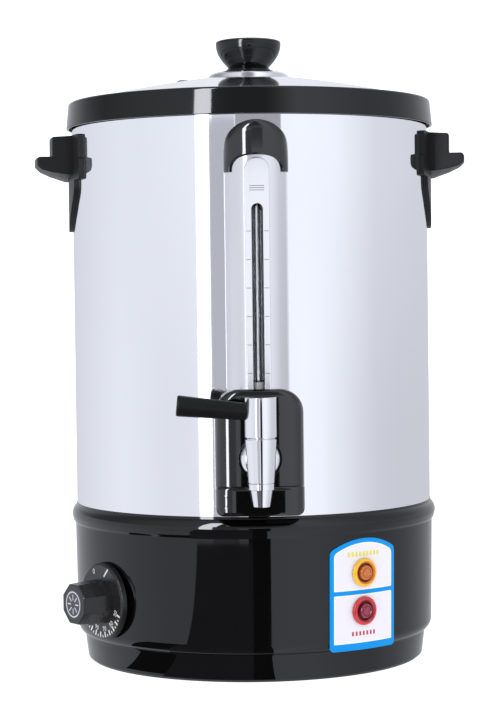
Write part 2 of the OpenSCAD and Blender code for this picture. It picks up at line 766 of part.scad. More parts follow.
module tee_gasket() {
    color(silicone) translate([0, 0, shank_z]) difference() {
        rod_y(tee_d, -gasket_flat + seat_gap, -tank_r - seat_gap);
        rod_y(shank_hole_d, -gasket_flat - past, -tank_r + past);
    }
}

module tank_gasket() {
    color(silicone) translate([0, 0, shank_z]) difference() {
        rod_y(washer_d, -nut_face - washer_t + seat_gap, -nut_face - seat_gap);
        rod_y(shank_hole_d, -nut_face - washer_t - past, -nut_face + past);
    }
}

module shank_nut() {
    color(brass) translate([0, -nut_face, shank_z]) rotate([-90, 0, 0]) difference() {
        cylinder(d = nut_af / cos(30), h = nut_t, $fn = 6);
        translate([0, 0, -past]) cylinder(d = shank_hole_d, h = nut_t + 2 * past);
    }
}

// Spacer between tank and tap, with the socket of the sight tube on top
module outlet_tee() {
    color(brass) difference() {
        union() {
            translate([0, 0, shank_z]) {
                rod_y(tee_d, -tee_front, -gasket_flat);
                rod_y(tee_head_d, -tee_front + 3, -drum_r - 2);
            }
            translate([0, tube_y, shank_z]) cylinder(r = seal_r + tee_wall, h = tube_low + 8 - shank_z);
        }
        translate([0, 0, shank_z]) rod_y(shank_hole_d, -tee_front - past, -gasket_flat + past);
        translate([0, tube_y, 0]) {
            translate([0, 0, seal_low - seat_gap]) cylinder(r = seal_r + seal_squeeze, h = 30);
            translate([0, 0, tube_low - seat_gap]) cylinder(r = tube_d / 2 + seal_squeeze, h = 30);
            translate([0, 0, shank_z]) cylinder(d = gauge_hole_d, h = 60);
        }
    }
}

// ---------------------------------------------------------------- tap surround

surround_t = 3;
surround_face = drum_r + surround_depth;
surround_bow = 6;                              // how far the front bows out in plan
surround_edge = 7;                             // rounding of the upright edges
surround_corner = 19;                          // rounding of the upper corners, seen from the front
surround_low_corner = 6;
step_h = 24;                                   // height of the thicker foot of the surround
step_out = 2.4;
pad_d = 34;                                    // round pad under the tap's flange
pad_y = surround_face + 0.4;
surround_screw_x = 24;
surround_screw_d = 2.8;
surround_boss_d = 8;

function surround_screw_points() = [for (side = [-1, 1]) [side * surround_screw_x, surround_z + 14]];

// Right half of the surround's plan, inset by d, standing out by extra
function surround_half(d, extra) = let (
    w = surround_w / 2 - d, f = surround_face - surround_bow - d + extra, flat = w - surround_edge)
    concat([[w, -drum_r + 10]],
        [for (a = [0:10:80]) [flat + surround_edge * cos(a), -f + surround_edge * (1 - sin(a))]],
        [for (i = [0:6]) let (x = flat * (1 - i / 6)) [x, -f - surround_bow * (1 - pow(x / flat, 2))]]);

function surround_plan(d, extra) = let (half = surround_half(d, extra)) concat(
    half, [for (i = [len(half) - 2:-1:0]) [-half[i][0], half[i][1]]]);

module surround_solid(d, extra) {
    low_corner = max(surround_low_corner - d, 1);
    outline = round_rect(
        surround_w - 2 * d, surround_z + d, surround_top - d, surround_corner - d, low_corner);
    intersection() {
        translate([0, 0, surround_z - past])
            linear_extrude(surround_h + 2 * past) polygon(surround_plan(d, extra));
        slab_y(outline, -surround_face - 20, -drum_r + 20);
    }
}

// Hollow of the surround, with the pad and the screw bosses left standing in it
module surround_hollow() {
    difference() {
        surround_solid(surround_t, 0);
        translate([0, 0, shank_z]) rod_y(pad_d, -pad_y, -tee_front - seat_gap);
        for (p = surround_screw_points()) translate([p[0], 0, p[1]])
            rod_y(surround_boss_d, -surround_face, -drum_r);
    }
}

module tap_surround() {
    color(black) difference() {
        union() {
            surround_solid(0, 0);
            intersection() {
                surround_solid(0, step_out);
                translate([-surround_w, -surround_face - 10, surround_z - past])
                    cube([2 * surround_w, 60, step_h + past]);
            }
            translate([0, 0, shank_z]) rod_y(pad_d, -pad_y, -surround_face + 6);
        }
        surround_hollow();
        guard_solid(slip_gap, surround_top - 12, surround_top + 20);
        guard_strip(slip_gap);
        translate([0, 0, shank_z]) rod_y(shank_d + 2 * slip_gap, -surround_face - 10, -drum_r);
        for (p = surround_screw_points()) translate([p[0], 0, p[1]])
            rod_y(thread_hole(surround_screw_d), -drum_r - 15, -drum_r + 10);
        drum_space();
    }
}

module surround_screws() {
    head_r = 3;
    color(steel) for (p = surround_screw_points())
        let (y = sqrt(pow(drum_r - drum_wall, 2) - pow(abs(p[0]) + head_r, 2)) - seat_gap)
        translate([p[0], -y, p[1]]) rotate([-90, 0, 0]) screw(surround_screw_d, 10, 2 * head_r, 2);
}

// ---------------------------------------------------------------- tap

bonnet_r = bonnet_d / 2;
body_low = shank_z - 16.7;                     // lower end of the tap's body
body_high = shank_z + 17.3;                    // parting line under the bonnet
body_low_r = 9.95;
neck_r = bonnet_r - 3;                         // the bonnet turns on this neck
neck_top = body_high + 9;
chamber_r = 7.2;
seat_z = body_low + 7;                         // the seal closes on the spout's bore here
spout_r = 4.6;
spigot_r = 7;
spigot_h = 5;
nozzle_r = 9.8;
nozzle_low = body_low - 18;
collar_nut_h = 5;                              // ring at the top of the nozzle
tap_bore_d = 8;                                // water's way through the shank
shank_root_d = 17;
flange_d = 30.4;
flange_h = 5.5;
stem_r = 3;
stem_top = body_high + 16;
head_r = 4.5;
head_h = 4;
guide_z = body_high - 4;
guide_lip = 1.6;
bonnet_z = body_high + 0.2;
bonnet_top = body_high + 31;

module on_tap_axis() translate([0, tap_y, 0]) children();

// Body with its neck, valve chamber and threaded shank
module tap_body() {
    shank_end = -nut_face + nut_t + 2;
    color(chrome) difference() {
        union() {
            on_tap_axis() rotate_extrude() polygon([
                [0, body_low], [body_low_r - 0.45, body_low], [body_low_r, body_low + 0.5],
                [bonnet_r, body_high - 0.4], [bonnet_r - 0.4, body_high], [neck_r, body_high],
                [neck_r, neck_top], [0, neck_top]]);
            translate([0, 0, shank_z]) {
                rod_y(shank_d, tap_y + 4, shank_end);
                rod_y(shank_root_d, tap_y + 6, -pad_y - flange_h - 2 * seat_gap);
            }
        }
        on_tap_axis() {
            translate([0, 0, body_low - past]) cylinder(r = spigot_r + fit_gap, h = spigot_h + past);
            translate([0, 0, body_low]) cylinder(r = spout_r, h = seat_z - body_low + past);
            translate([0, 0, seat_z]) cylinder(r = chamber_r, h = neck_top - seat_z + past);
        }
        translate([0, 0, shank_z]) rod_y(tap_bore_d, tap_y, shank_end + past);
        translate([0, tube_y, shank_z]) cylinder(d = gauge_hole_d, h = shank_d);
    }
}

// Domed rose that the tap clamps on the surround's pad
module tap_flange() {
    rim = 0.5;
    dome = [for (t = [0:10.5:84]) [flange_d / 2 - 6.4 * (1 - cos(t)), rim + (flange_h - rim) * sin(t)]];
    color(chrome) translate([0, -pad_y - seat_gap, shank_z]) rotate([90, 0, 0]) difference() {
        rotate_extrude() polygon(concat([[0, 0], [flange_d / 2 - rim, 0]], dome, [[0, flange_h]]));
        translate([0, 0, -past]) cylinder(d = shank_hole_d, h = flange_h + 2 * past);
    }
}

module tap_nozzle() {
    ring_low = body_low - collar_nut_h;
    top = body_low - seat_gap;
    color(chrome) on_tap_axis() difference() {
        rotate_extrude() polygon([
            [0, nozzle_low], [6.2, nozzle_low], [6.6, nozzle_low + 0.5], [8.7, ring_low - seat_gap],
            [nozzle_r - 0.4, ring_low - seat_gap], [nozzle_r, ring_low + 0.4], [nozzle_r, top - 0.45],
            [nozzle_r - 0.4, top], [spigot_r, top], [spigot_r, top + spigot_h], [0, top + spigot_h]]);
        translate([0, 0, nozzle_low - past]) cylinder(r = spout_r, h = 30);
    }
}

module stem_guide() {
    color(brass) on_tap_axis() difference() {
        union() {
            translate([0, 0, guide_z]) cylinder(r = chamber_r - fit_gap, h = neck_top - guide_z + seat_gap);
            translate([0, 0, neck_top + seat_gap]) cylinder(r = neck_r - 0.2, h = guide_lip);
        }
        translate([0, 0, guide_z - past]) cylinder(r = stem_r + fit_gap, h = 30);
    }
}

lever_rise = 5.7;                              // angle of the lever above the level
lever_root_x = bonnet_r - 2;
lever_root_z = body_high + 20;
lever_root_d = 12.7;
lever_end_d = 15.2;
lever_round = 1.4;
lever_stud_d = 4;
lever_stud_len = 16;
lever_stud_in = 3.5;                           // how far the stud goes into the bonnet

// Places a piece made along +Z on the lever's axis, starting at the lever's root
module on_lever() {
    translate([-lever_root_x, tap_y, lever_root_z]) rotate([0, -90 + lever_rise, 0]) children();
}

// Turning head of the tap, with the lever's notch and the room for the stem's head
module tap_bonnet() {
    color(chrome) difference() {
        on_tap_axis() rotate_extrude() polygon([
            [0, bonnet_z], [bonnet_r - 0.4, bonnet_z], [bonnet_r, bonnet_z + 0.4],
            [bonnet_r, bonnet_top - 0.8], [bonnet_r - 0.8, bonnet_top], [0, bonnet_top]]);
        on_tap_axis() {
            translate([0, 0, bonnet_z - past])
                cylinder(r = neck_r + fit_gap, h = neck_top + guide_lip + 0.6 - bonnet_z + past);
            translate([0, 0, bonnet_z])
                cylinder(r = head_r + fit_gap, h = stem_top + valve_lift + 1 - bonnet_z);
        }
        on_lever() {
            translate([0, 0, -seat_gap]) cylinder(d = lever_root_d + 0.2, h = 10);
            translate([0, 0, -lever_stud_in - 0.1]) cylinder(d = lever_stud_d + 2 * fit_gap, h = 10);
        }
    }
}

module tap_lever() {
    len = lever_len - lever_root_x;
    color(black) on_lever() difference() {
        rotate_extrude() polygon(concat(
            [[0, 0], [lever_root_d / 2 - 0.6, 0], [lever_root_d / 2, 0.6]],
            arc(lever_end_d / 2 - lever_round, len - lever_round - 0.2, lever_round, 0, 80, 5), [[0, len]]));
        translate([0, 0, -past])
            cylinder(d = lever_stud_d + 2 * fit_gap, h = lever_stud_len - lever_stud_in + 0.5 + past);
    }
}

module lever_stud() {
    color(steel) on_lever() translate([0, 0, -lever_stud_in]) cylinder(d = lever_stud_d, h = lever_stud_len);
}

seal_z = seat_z + seat_gap;
seal_h = 4;
plate_z = seal_z + seal_h + seat_gap;          // plate on the stem, over the seal
plate_h = 2;
plate_r = 6.4;
spring_low = plate_z + plate_h + seat_gap;

module valve_stem() {
    color(steel) on_tap_axis() {
        translate([0, 0, seal_z + 1]) cylinder(r = 2, h = seal_h);
        translate([0, 0, plate_z]) cylinder(r = plate_r, h = plate_h);
        translate([0, 0, plate_z]) cylinder(r = stem_r, h = stem_top - plate_z - 1);
        translate([0, 0, stem_top - head_h]) cylinder(r = head_r, h = head_h);
    }
}

module valve_seal() {
    color(silicone) on_tap_axis() difference() {
        translate([0, 0, seal_z]) cylinder(r1 = 5.8, r2 = plate_r, h = seal_h);
        translate([0, 0, seal_z + 1 - seat_gap]) cylinder(r = 2, h = seal_h);
    }
}

spring_wire = 0.9;
spring_r = 5.2;
spring_turns = 6;
spring_sides = 6;
spring_rings = 14 * spring_turns;
spring_h = guide_z - seat_gap - spring_low - spring_wire;   // from first to last turn's middle

// Corners of the spring wire's section at part t (0 to 1) of its length
function spring_ring(t) = [for (k = [0:spring_sides - 1]) let (
    b = -360 * k / spring_sides, a = 360 * spring_turns * t, r = spring_r + spring_wire / 2 * cos(b))
    [r * cos(a), r * sin(a), spring_low + spring_h * t + spring_wire / 2 * (1 + sin(b))]];

module valve_spring() {
    color(steel) on_tap_axis() polyhedron(
        points = [for (i = [0:spring_rings]) each spring_ring(i / spring_rings)],
        faces = tube_faces(spring_rings, spring_sides));
}

// ---------------------------------------------------------------- dial and thermostat

skirt_back = wall_r(dial_z) + 0.9;             // back of the dial's skirt
skirt_t = 5.2;
dial_knob_h = 26;
dial_knob_d = 37;
dial_cap_d = 24;
dial_cap_deep = 0.8;
thermostat_face = drum_r - 7;                  // flat seat inside the base
thermostat_seat_d = 46;
thermostat_pitch = 28;
thermostat_screw_d = 3.4;
thermostat_head_d = 7.4;
thermostat_screw_face = wall_r(dial_z) - 2.4;
thermostat_size = [36, 32, 24.5];
thermostat_land = [36, 16, 1.5];               // raised land that meets the seat
tab_size = [5, 6, 0.8];

// Places a piece made along +Z on the dial's axis, starting at radius r from the urn's axis
module on_dial(r) around(dial_az) translate([0, -r, dial_z]) rotate([90, 0, 0]) children();

// Shaft with a flat
module d_shaft(r, h) difference() {
    cylinder(r = r, h = h);
    translate([-r, 0.55 * r, -past]) cube([2 * r, r, h + 2 * past]);
}

// Skirt with an eight-sided grip
module dial() {
    top = skirt_t + dial_knob_h;
    color(black) on_dial(skirt_back) difference() {
        union() {
            rotate_extrude() polygon([
                [0, 0], [dial_d / 2 - 0.4, 0], [dial_d / 2, 0.5], [dial_d / 2 - 0.3, skirt_t - 1.2],
                [dial_d / 2 - 2.2, skirt_t], [0, skirt_t]]);
            translate([0, 0, skirt_t - cut]) rotate([0, 0, 22.5])
                cylinder(d1 = dial_knob_d, d2 = dial_knob_d - 3, h = dial_knob_h + cut, $fn = 8);
        }
        translate([0, 0, -past]) d_shaft(dial_shaft_d / 2 + fit_gap, 23 + past);
        translate([0, 0, top - dial_cap_deep]) cylinder(d = dial_cap_d + 0.2, h = 2);
    }
}

// Bright disc let into the grip's end, with two ring grooves
module dial_cap() {
    disc_t = 1.1;
    groove = 0.4;
    color(steel) on_dial(skirt_back + skirt_t + dial_knob_h - dial_cap_deep + seat_gap) difference() {
        cylinder(d = dial_cap_d, h = disc_t);
        for (d = [10, 18]) pipe(d / 2, d / 2 - 1.5, disc_t - groove, disc_t + 1);
    }
}

module thermostat_shaft() {
    color(steel) on_dial(thermostat_face - 1.5)
        d_shaft(dial_shaft_d / 2, skirt_back + 22 - (thermostat_face - 1.5));
}

module thermostat_body() {
    size = thermostat_size;
    land = thermostat_land;
    color(ceramic) on_dial(thermostat_face - seat_gap) difference() {
        union() {
            translate([-size[0] / 2, -size[1] / 2, -land[2] - size[2]]) cube(size);
            translate([-land[0] / 2, -land[1] / 2, -land[2] - seat_gap]) cube(land + [0, 0, seat_gap]);
            for (x = [-8, 3]) translate([x, -size[1] / 2 - 4, -20]) cube(tab_size);
        }
        translate([0, 0, -1.5]) cylinder(r = dial_shaft_d / 2 + fit_gap, h = 3);
        for (s = [-1, 1]) translate([s * thermostat_pitch / 2, 0, -10])
            cylinder(d = thread_hole(thermostat_screw_d), h = 20);
    }
}

module thermostat_screws() {
    color(steel) around(dial_az) for (s = [-1, 1])
        translate([s * thermostat_pitch / 2, -thermostat_screw_face - seat_gap, dial_z]) rotate([90, 0, 0])
            screw(thermostat_screw_d, thermostat_screw_face - thermostat_face + 9, thermostat_head_d, 1.6);
}

// ---------------------------------------------------------------- heater under the tank's floor

spreader_r = 84;
spreader_t = 6;
spreader_z = floor_z - seat_gap - spreader_t;
element_d = 8.4;
element_r = 62;
element_open = 18;                             // half the angle left open between the element's ends
element_bend = 9;
element_leg = 8;
element_z = spreader_z - seat_gap - element_d / 2;
pin_d = 3;
pin_len = 9;
clamp_size = [18, 2 * element_r + 20, 2];
clamp_z = element_z - element_d / 2 - seat_gap - clamp_size[2];
bracket_t = 1.5;
bracket_w = 14;
bracket_z = clamp_z - seat_gap - bracket_t;
clamp_nut_d = 11.5;
clamp_nut_h = 4.5;
stud_d = 6;
stud_end = bracket_z - clamp_nut_h - 4;
cutout_pos = [30, 24];
cutout_d = 18;
bulb_y = 36;
bulb_d = 6;
bulb_len = 60;
capillary_d = 2;
bulb_z = spreader_z - seat_gap - bulb_d / 2;

// Lower end of the element's cold pin on side s = -1 or 1
function element_end(s) = let (a = -s * element_open, x = element_r, y = s * element_bend)
    [x * cos(a) - y * sin(a), x * sin(a) + y * cos(a), element_z - element_bend - element_leg - pin_len];

module heat_spreader() {
    color(steel) translate([0, 0, spreader_z]) difference() {
        cylinder(r = spreader_r, h = spreader_t);
        translate([0, 0, -past]) cylinder(d = free_hole(stud_d), h = spreader_t + 2 * past);
    }
}

// Ring of heater tube whose two ends turn down to their cold pins
module heating_element() {
    color(grey_plastic) translate([0, 0, element_z]) {
        rotate([0, 0, element_open]) rotate_extrude(angle = 360 - 2 * element_open)
            translate([element_r, 0]) circle(d = element_d, $fn = 48);
        for (s = [-1, 1]) rotate([0, 0, -s * element_open]) translate([element_r, 0, -element_bend]) {
            rotate([0, -90, 0]) mirror([0, s < 0 ? 1 : 0, 0])
                rotate_extrude(angle = 90) translate([element_bend, 0]) circle(d = element_d, $fn = 48);
            translate([0, s * element_bend, -element_leg]) cylinder(d = element_d, h = element_leg);
            translate([0, s * element_bend, -element_leg - pin_len]) cylinder(d = pin_d, h = pin_len + 1);
        }
    }
}

module element_clamp() {
    size = clamp_size;
    color(steel) translate([0, 0, clamp_z]) difference() {
        translate([-size[0] / 2, -size[1] / 2, 0]) cube(size);
        translate([0, 0, -past]) cylinder(d = stud_d + 0.4, h = size[2] + 2 * past);
    }
}

module clamp_nut() {
    color(brass) translate([0, 0, bracket_z - seat_gap - clamp_nut_h]) difference() {
        cylinder(d = clamp_nut_d, h = clamp_nut_h, $fn = 6);
        translate([0, 0, -past]) cylinder(d = stud_d + 2 * fit_gap, h = clamp_nut_h + 2 * past);
    }
}

module dry_boil_cutout() {
    low = bracket_z + bracket_t + seat_gap;
    color(grey_plastic) translate([cutout_pos[0], cutout_pos[1], low]) {
        cylinder(d = cutout_d, h = spreader_z - seat_gap - low);
        translate([-12, -3, 2]) cube([24, 6, 0.8]);
    }
}

module cutout_bracket() {
    reach = norm(cutout_pos);
    turn = atan2(cutout_pos[1], cutout_pos[0]);
    color(steel) translate([0, 0, bracket_z]) rotate([0, 0, turn]) difference() {
        union() {
            for (x = [0, reach]) translate([x, 0, 0]) cylinder(d = bracket_w, h = bracket_t);
            translate([0, -bracket_w / 2, 0]) cube([reach, bracket_w, bracket_t]);
        }
        translate([0, 0, -past]) cylinder(d = stud_d + 0.4, h = bracket_t + 2 * past);
    }
}

// Point on the back of the thermostat, up by dz from its middle
function thermostat_back(dz) = let (r = thermostat_face - thermostat_size[2] - thermostat_land[2] - 0.2)
    [r * sin(dial_az), -r * cos(dial_az), dial_z + dz];

// Sensing bulb under the spreader, and its capillary to the thermostat
module thermostat_bulb() {
    x = -bulb_len / 2;
    end = thermostat_back(0);
    color(copper) {
        translate([x, -bulb_y, bulb_z]) rotate([0, 90, 0]) cylinder(d = bulb_d, h = bulb_len);
        wire([[x - seat_gap, -bulb_y, bulb_z], [x - 12, -bulb_y, bulb_z - 1],
            [x - 26, -bulb_y - 10, bulb_z - 34], [0.86 * end[0], 0.86 * end[1], end[2]], end], capillary_d);
    }
}

module bulb_clip() {
    wall = 1;
    w = 8;
    outer = bulb_d + 2 * wall;
    color(steel) for (x = [-16, 16]) translate([x - w / 2, -bulb_y, bulb_z]) {
        difference() {
            translate([0, -outer / 2, -outer / 2 - seat_gap]) cube([w, outer, bulb_d + 1]);
            translate([-past, -bulb_d / 2 - fit_gap, 0]) cube([w + 2 * past, bulb_d + 2 * fit_gap, bulb_d]);
            translate([-past, 0, 0]) rotate([0, 90, 0]) cylinder(d = bulb_d + 2 * fit_gap, h = w + 2 * past);
        }
        for (s = [-1, 1]) translate([0, s * (outer / 2 + w / 2 - wall) - w / 2, bulb_d / 2 - wall])
            cube([w, w, wall]);
    }
}

// ---------------------------------------------------------------- lamp panel

panel_gap = 0.12;
panel_t = 0.85;
panel_low = plinth_h + 1.5;
panel_high = band_z - 2;
panel_arch = 12;                               // rise of the panel's arched top
amber_z = panel_low + (panel_high - panel_low) * 0.68;
red_z = panel_low + (panel_high - panel_low) * 0.343;
lamp_barrel_d = 14.6;
lamp_barrel_len = 16;
lens_d = 16.5;

// Arched outline of the panel, seen square on
function panel_outline() = let (
    w = panel_w / 2, r = (w * w + panel_arch * panel_arch) / (2 * panel_arch), a = asin(w / r))
    concat([[-w + 1, panel_low], [w - 1, panel_low], [w, panel_low + 1]],
        arc(0, panel_high - r, r, 90 - a, 90 + a, 16), [[-w, panel_low + 1]]);

// Printed panel that follows the round of the wall
module lamp_panel() {
    inside = [for (p = main_wall_line()) [p[0] + panel_gap, p[1]]];
    outside = [for (z = [band_z, panel_low]) [wall_r(z) + panel_gap + panel_t, z]];
    color([0.93, 0.94, 0.98]) around(panel_az) difference() {
        intersection() {
            rotate([0, 0, -90 - 20]) rotate_extrude(angle = 40) polygon(concat(inside, outside));
            slab_y(panel_outline(), -drum_r - 10, -drum_r / 2);
        }
        lamp_holes();
    }
}

// Lamp with a coloured flange, a domed lens and a barrel through the wall
module lamp(z) {
    face = wall_r(z + lamp_d / 2) + panel_gap + panel_t + seat_gap;
    lens_r = lens_d / 2;
    around(panel_az) translate([0, -face, z]) rotate([90, 0, 0]) rotate_extrude() polygon(concat(
        [[0, -lamp_barrel_len], [lamp_barrel_d / 2, -lamp_barrel_len], [lamp_barrel_d / 2, 0],
         [lamp_d / 2 - 0.5, 0]],
        arc(lamp_d / 2 - 2, 1.2, 2, 0, 80, 5),
        [[lens_r + 0.8, 3.2], [lens_r + 0.2, 2.2], [lens_r - 0.6, 2.2]],
        [for (t = [0:15:90]) [(lens_r - 0.6) * cos(t), 2.2 + 2.8 * sin(t)]]));
}

module amber_lamp() { color([0.95, 0.55, 0.1]) lamp(amber_z); }
module red_lamp() { color([0.8, 0.1, 0.12]) lamp(red_z); }

module lamp_nuts() {
    color(black) around(panel_az) for (z = [amber_z, red_z])
        let (inside = wall_r(z) - base_wall - 0.75)
        translate([0, 0, z]) difference() {
            rod_y(22, -inside, -inside + 3.75);
            rod_y(lamp_barrel_d + 2 * fit_gap, -inside - past, -inside + 3.75 + past);
        }
}

// ---------------------------------------------------------------- power inlet and wiring

inlet_z = 62;
inlet_w = 30;
inlet_h = 22;
inlet_pad = [58, 34];
inlet_face = drum_r + 3.2;                     // flat pad on the base behind the inlet's flange
inlet_back = drum_r - 8;
inlet_pitch = 40;
inlet_screw_d = 3.2;
inlet_deep = 24;
inlet_cavity = 18;
inlet_flange_t = 2.5;
inlet_wall = 2.5;
inlet_front = inlet_face + inlet_flange_t + seat_gap;
blade = [2, 28, 6];
blade_pitch = 8;
blade_set = 5.5;                               // how far the blades stand back from the flange

// Outline of the pad, and of the flange that is a little smaller
function inlet_pad_outline(d) = round_rect(
    inlet_pad[0] - 2 * d, inlet_z - inlet_pad[1] / 2 + d, inlet_z + inlet_pad[1] / 2 - d, 4, 4);

// Corner of the blade in column i = -1, 0 or 1; the middle one stands higher
function blade_corner(i) = [
    i * blade_pitch - blade[0] / 2, -inlet_front + blade_set, inlet_z - blade[2] / 2 + (i == 0 ? 1 : -1)];

module power_inlet() {
    low = inlet_z - inlet_h / 2;
    high = inlet_z + inlet_h / 2;
    color(black) around(180) difference() {
        union() {
            slab_y(inlet_pad_outline(2.5), -inlet_front, -inlet_face - seat_gap);
            slab_y(round_rect(inlet_w, low, high, 3, 3), -inlet_front, -inlet_face + inlet_deep);
        }
        slab_y(round_rect(inlet_w - 2 * inlet_wall, low + inlet_wall, high - inlet_wall, 2, 2),
            -inlet_front - past, -inlet_front + inlet_cavity);
        for (s = [-1, 1]) translate([s * inlet_pitch / 2, 0, inlet_z])
            rod_y(free_hole(inlet_screw_d), -inlet_front - past, -inlet_face + past);
        for (i = [-1, 0, 1]) translate(blade_corner(i) - [cut, 0, cut])
            cube([blade[0] + 2 * cut, 60, blade[2] + 2 * cut]);
    }
}

module inlet_pins() {
    color(brass) around(180) for (i = [-1, 0, 1]) translate(blade_corner(i)) cube(blade);
}

module inlet_screws() {
    color(steel) around(180) for (s = [-1, 1])
        translate([s * inlet_pitch / 2, -inlet_front - seat_gap, inlet_z]) rotate([90, 0, 0])
            screw(inlet_screw_d, 12, 6, 2);
}

block_pos = [-20, 60];
block_size = [40, 20, 16];
block_cols = 4;
block_pitch = 10;
terminal_d = 5;
terminal_deep = 8;

module terminal_block() {
    color(ceramic) translate([block_pos[0], block_pos[1], cover_top]) difference() {
        cube(block_size);
        for (col = [0:block_cols - 1], row = [0, 1])
            translate([block_pitch * (col + 0.5), block_pitch * (row + 0.5), block_size[2] - terminal_deep])
                cylinder(d = terminal_d, h = 2 * terminal_deep);
    }
}

wire_d = 3;
wire_gap = 0.6;                                // room for the slant of a wire's cut end

// Route from above down into a terminal: column 0 to 3, row 0 or 1
function terminal(col, row) = let (
    x = block_pos[0] + block_pitch * (col + 0.5), y = block_pos[1] + block_pitch * (row + 0.5),
    top = cover_top + block_size[2])
    [[x, y, top + 13], [x, y, top + 4], [x, y, top - terminal_deep + wire_gap]];

// Reverse of a list of points
function back(pts) = [for (i = [len(pts) - 1:-1:0]) pts[i]];

module wiring() {
    start = inlet_front - blade_set - blade[1] - wire_gap;
    tab = thermostat_back(8);
    color([0.7, 0.2, 0.2]) {
        for (i = [-1, 0, 1]) let (end = terminal(i + 2, 1))
            wire(concat([for (y = [0, -6, -20]) [i * blade_pitch, start + y, inlet_z]],
                [end[0] + [0, 14, 10]], end), wire_d);
        for (s = [-1, 1])
            let (end = element_end(s), from = terminal(s > 0 ? 2 : 3, 0), mid = (from[0] + end) / 2)
            wire(concat(back(from), [[mid[0], mid[1] + 8, inlet_z], end - [0, 0, 14], end - [0, 0, 5],
                end - [0, 0, seat_gap]]), wire_d);
        wire(concat(back(terminal(0, 0)), [[-60, -4, 62], [0.84 * tab[0], 0.84 * tab[1], tab[2] + 1],
            [0.95 * tab[0], 0.95 * tab[1], tab[2]], tab]), wire_d);
    }
}

base_housing();
foot_ring();
bottom_cover();
cover_screws();
drum_shell();
drum_screws();
tank();
top_collar();
rim_gasket();
lid_dome();
lid_knob();
knob_screw();
lid_vent();
handle_left();
handle_right();
handle_screws();
gauge_guard();
gauge_cap();
sight_tube();
tube_seals();
gauge_top_fitting();
fitting_screws();
outlet_tee();
tee_gasket();
tank_gasket();
shank_nut();
tap_surround();
surround_screws();
tap_body();
tap_flange();
tap_nozzle();
stem_guide();
tap_bonnet();
tap_lever();
lever_stud();
valve_stem();
valve_seal();
valve_spring();
dial();
dial_cap();
thermostat_body();
thermostat_shaft();
thermostat_screws();
thermostat_bulb();
bulb_clip();
heat_spreader();
heating_element();
element_clamp();
clamp_nut();
dry_boil_cutout();
cutout_bracket();
lamp_panel();
amber_lamp();
red_lamp();
lamp_nuts();
power_inlet();
inlet_pins();
inlet_screws();
terminal_block();
wiring();
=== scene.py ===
# %% [markdown]
# # A hot water urn, finished around its CAD frame
#
# A catering urn is a polished steel drum that stands in a black heating base. The CAD model gives
# every piece its place and its body. This lesson dresses that frame: each piece that shows is made
# again with rounded edges and smooth walls, and each finish is built from nodes, so that the urn
# looks right from all sides and at every pose of its tap, dial and lid.

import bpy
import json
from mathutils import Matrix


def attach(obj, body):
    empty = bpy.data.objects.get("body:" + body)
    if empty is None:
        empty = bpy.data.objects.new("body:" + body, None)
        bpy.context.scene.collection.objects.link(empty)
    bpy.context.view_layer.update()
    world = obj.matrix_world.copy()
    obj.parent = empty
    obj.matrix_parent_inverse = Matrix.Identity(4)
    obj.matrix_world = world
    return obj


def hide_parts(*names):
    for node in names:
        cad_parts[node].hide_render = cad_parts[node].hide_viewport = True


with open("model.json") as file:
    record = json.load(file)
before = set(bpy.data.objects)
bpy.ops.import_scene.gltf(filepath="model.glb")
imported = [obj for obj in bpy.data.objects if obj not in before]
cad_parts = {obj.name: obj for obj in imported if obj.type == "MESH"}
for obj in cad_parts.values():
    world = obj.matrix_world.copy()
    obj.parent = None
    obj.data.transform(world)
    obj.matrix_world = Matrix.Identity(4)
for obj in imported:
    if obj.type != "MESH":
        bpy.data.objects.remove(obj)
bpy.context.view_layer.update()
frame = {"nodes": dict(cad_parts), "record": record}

# %% Tools for the whole lesson
import json
from math import acos, atan2, cos, degrees, pi, radians, sin, sqrt, tan

import bmesh
import bpy
from mathutils import Matrix, Vector

MM = 0.001                       # every size below is in millimetres
scene = bpy.context.scene


def shift(x, y, z):
    return Matrix.Translation((x * MM, y * MM, z * MM))


def turn(angle, axis):
    return Matrix.Rotation(radians(angle), 4, axis)


def shares(count):
    """Even steps from 0 to 1."""
    return [i / count for i in range(count + 1)]


# %% Nodes
def feed(tree, node, inputs):
    """Gives inputs of a node their value, or links them to the output that feeds them."""
    for socket, value in inputs.items():
        if isinstance(value, bpy.types.NodeSocket):
            tree.links.new(value, node.inputs[socket])
        else:
            node.inputs[socket].default_value = value
    return node


def add_node(tree, kind, inputs=None, **settings):
    node = tree.nodes.new(kind)
    for key, value in settings.items():
        setattr(node, key, value)
    return feed(tree, node, inputs or {})


# %% [markdown]
# ## Camera
#
# The urn is seen from a little above the tap, through a long lens, so its walls stay almost
# parallel. The camera stands slightly left of the tap's side and leans by less than a degree.

# %% Camera
VIEW_DISTANCE, VIEW_HEIGHT = 1746.5, 308.3
VIEW_AZIMUTH, VIEW_PITCH, VIEW_YAW, VIEW_ROLL = -1.75, 1.925, degrees(0.0007), -0.70
SENSOR_HEIGHT, FOCAL_LENGTH = 36, 102.5


def stand_camera():
    data = bpy.data.cameras.new("view")
    data.sensor_fit = "VERTICAL"
    data.sensor_height, data.lens = SENSOR_HEIGHT, FOCAL_LENGTH
    data.clip_start, data.clip_end = 0.05, 50
    scene.camera = bpy.data.objects.new("view", data)
    scene.collection.objects.link(scene.camera)
    scene.camera.matrix_world = (
        turn(VIEW_AZIMUTH, "Z") @ shift(0, -VIEW_DISTANCE, VIEW_HEIGHT) @ turn(VIEW_YAW, "Z")
        @ turn(90 - VIEW_PITCH, "X") @ turn(VIEW_ROLL, "Z"))


stand_camera()
print("camera at", [round(c, 4) for c in scene.camera.matrix_world.translation])

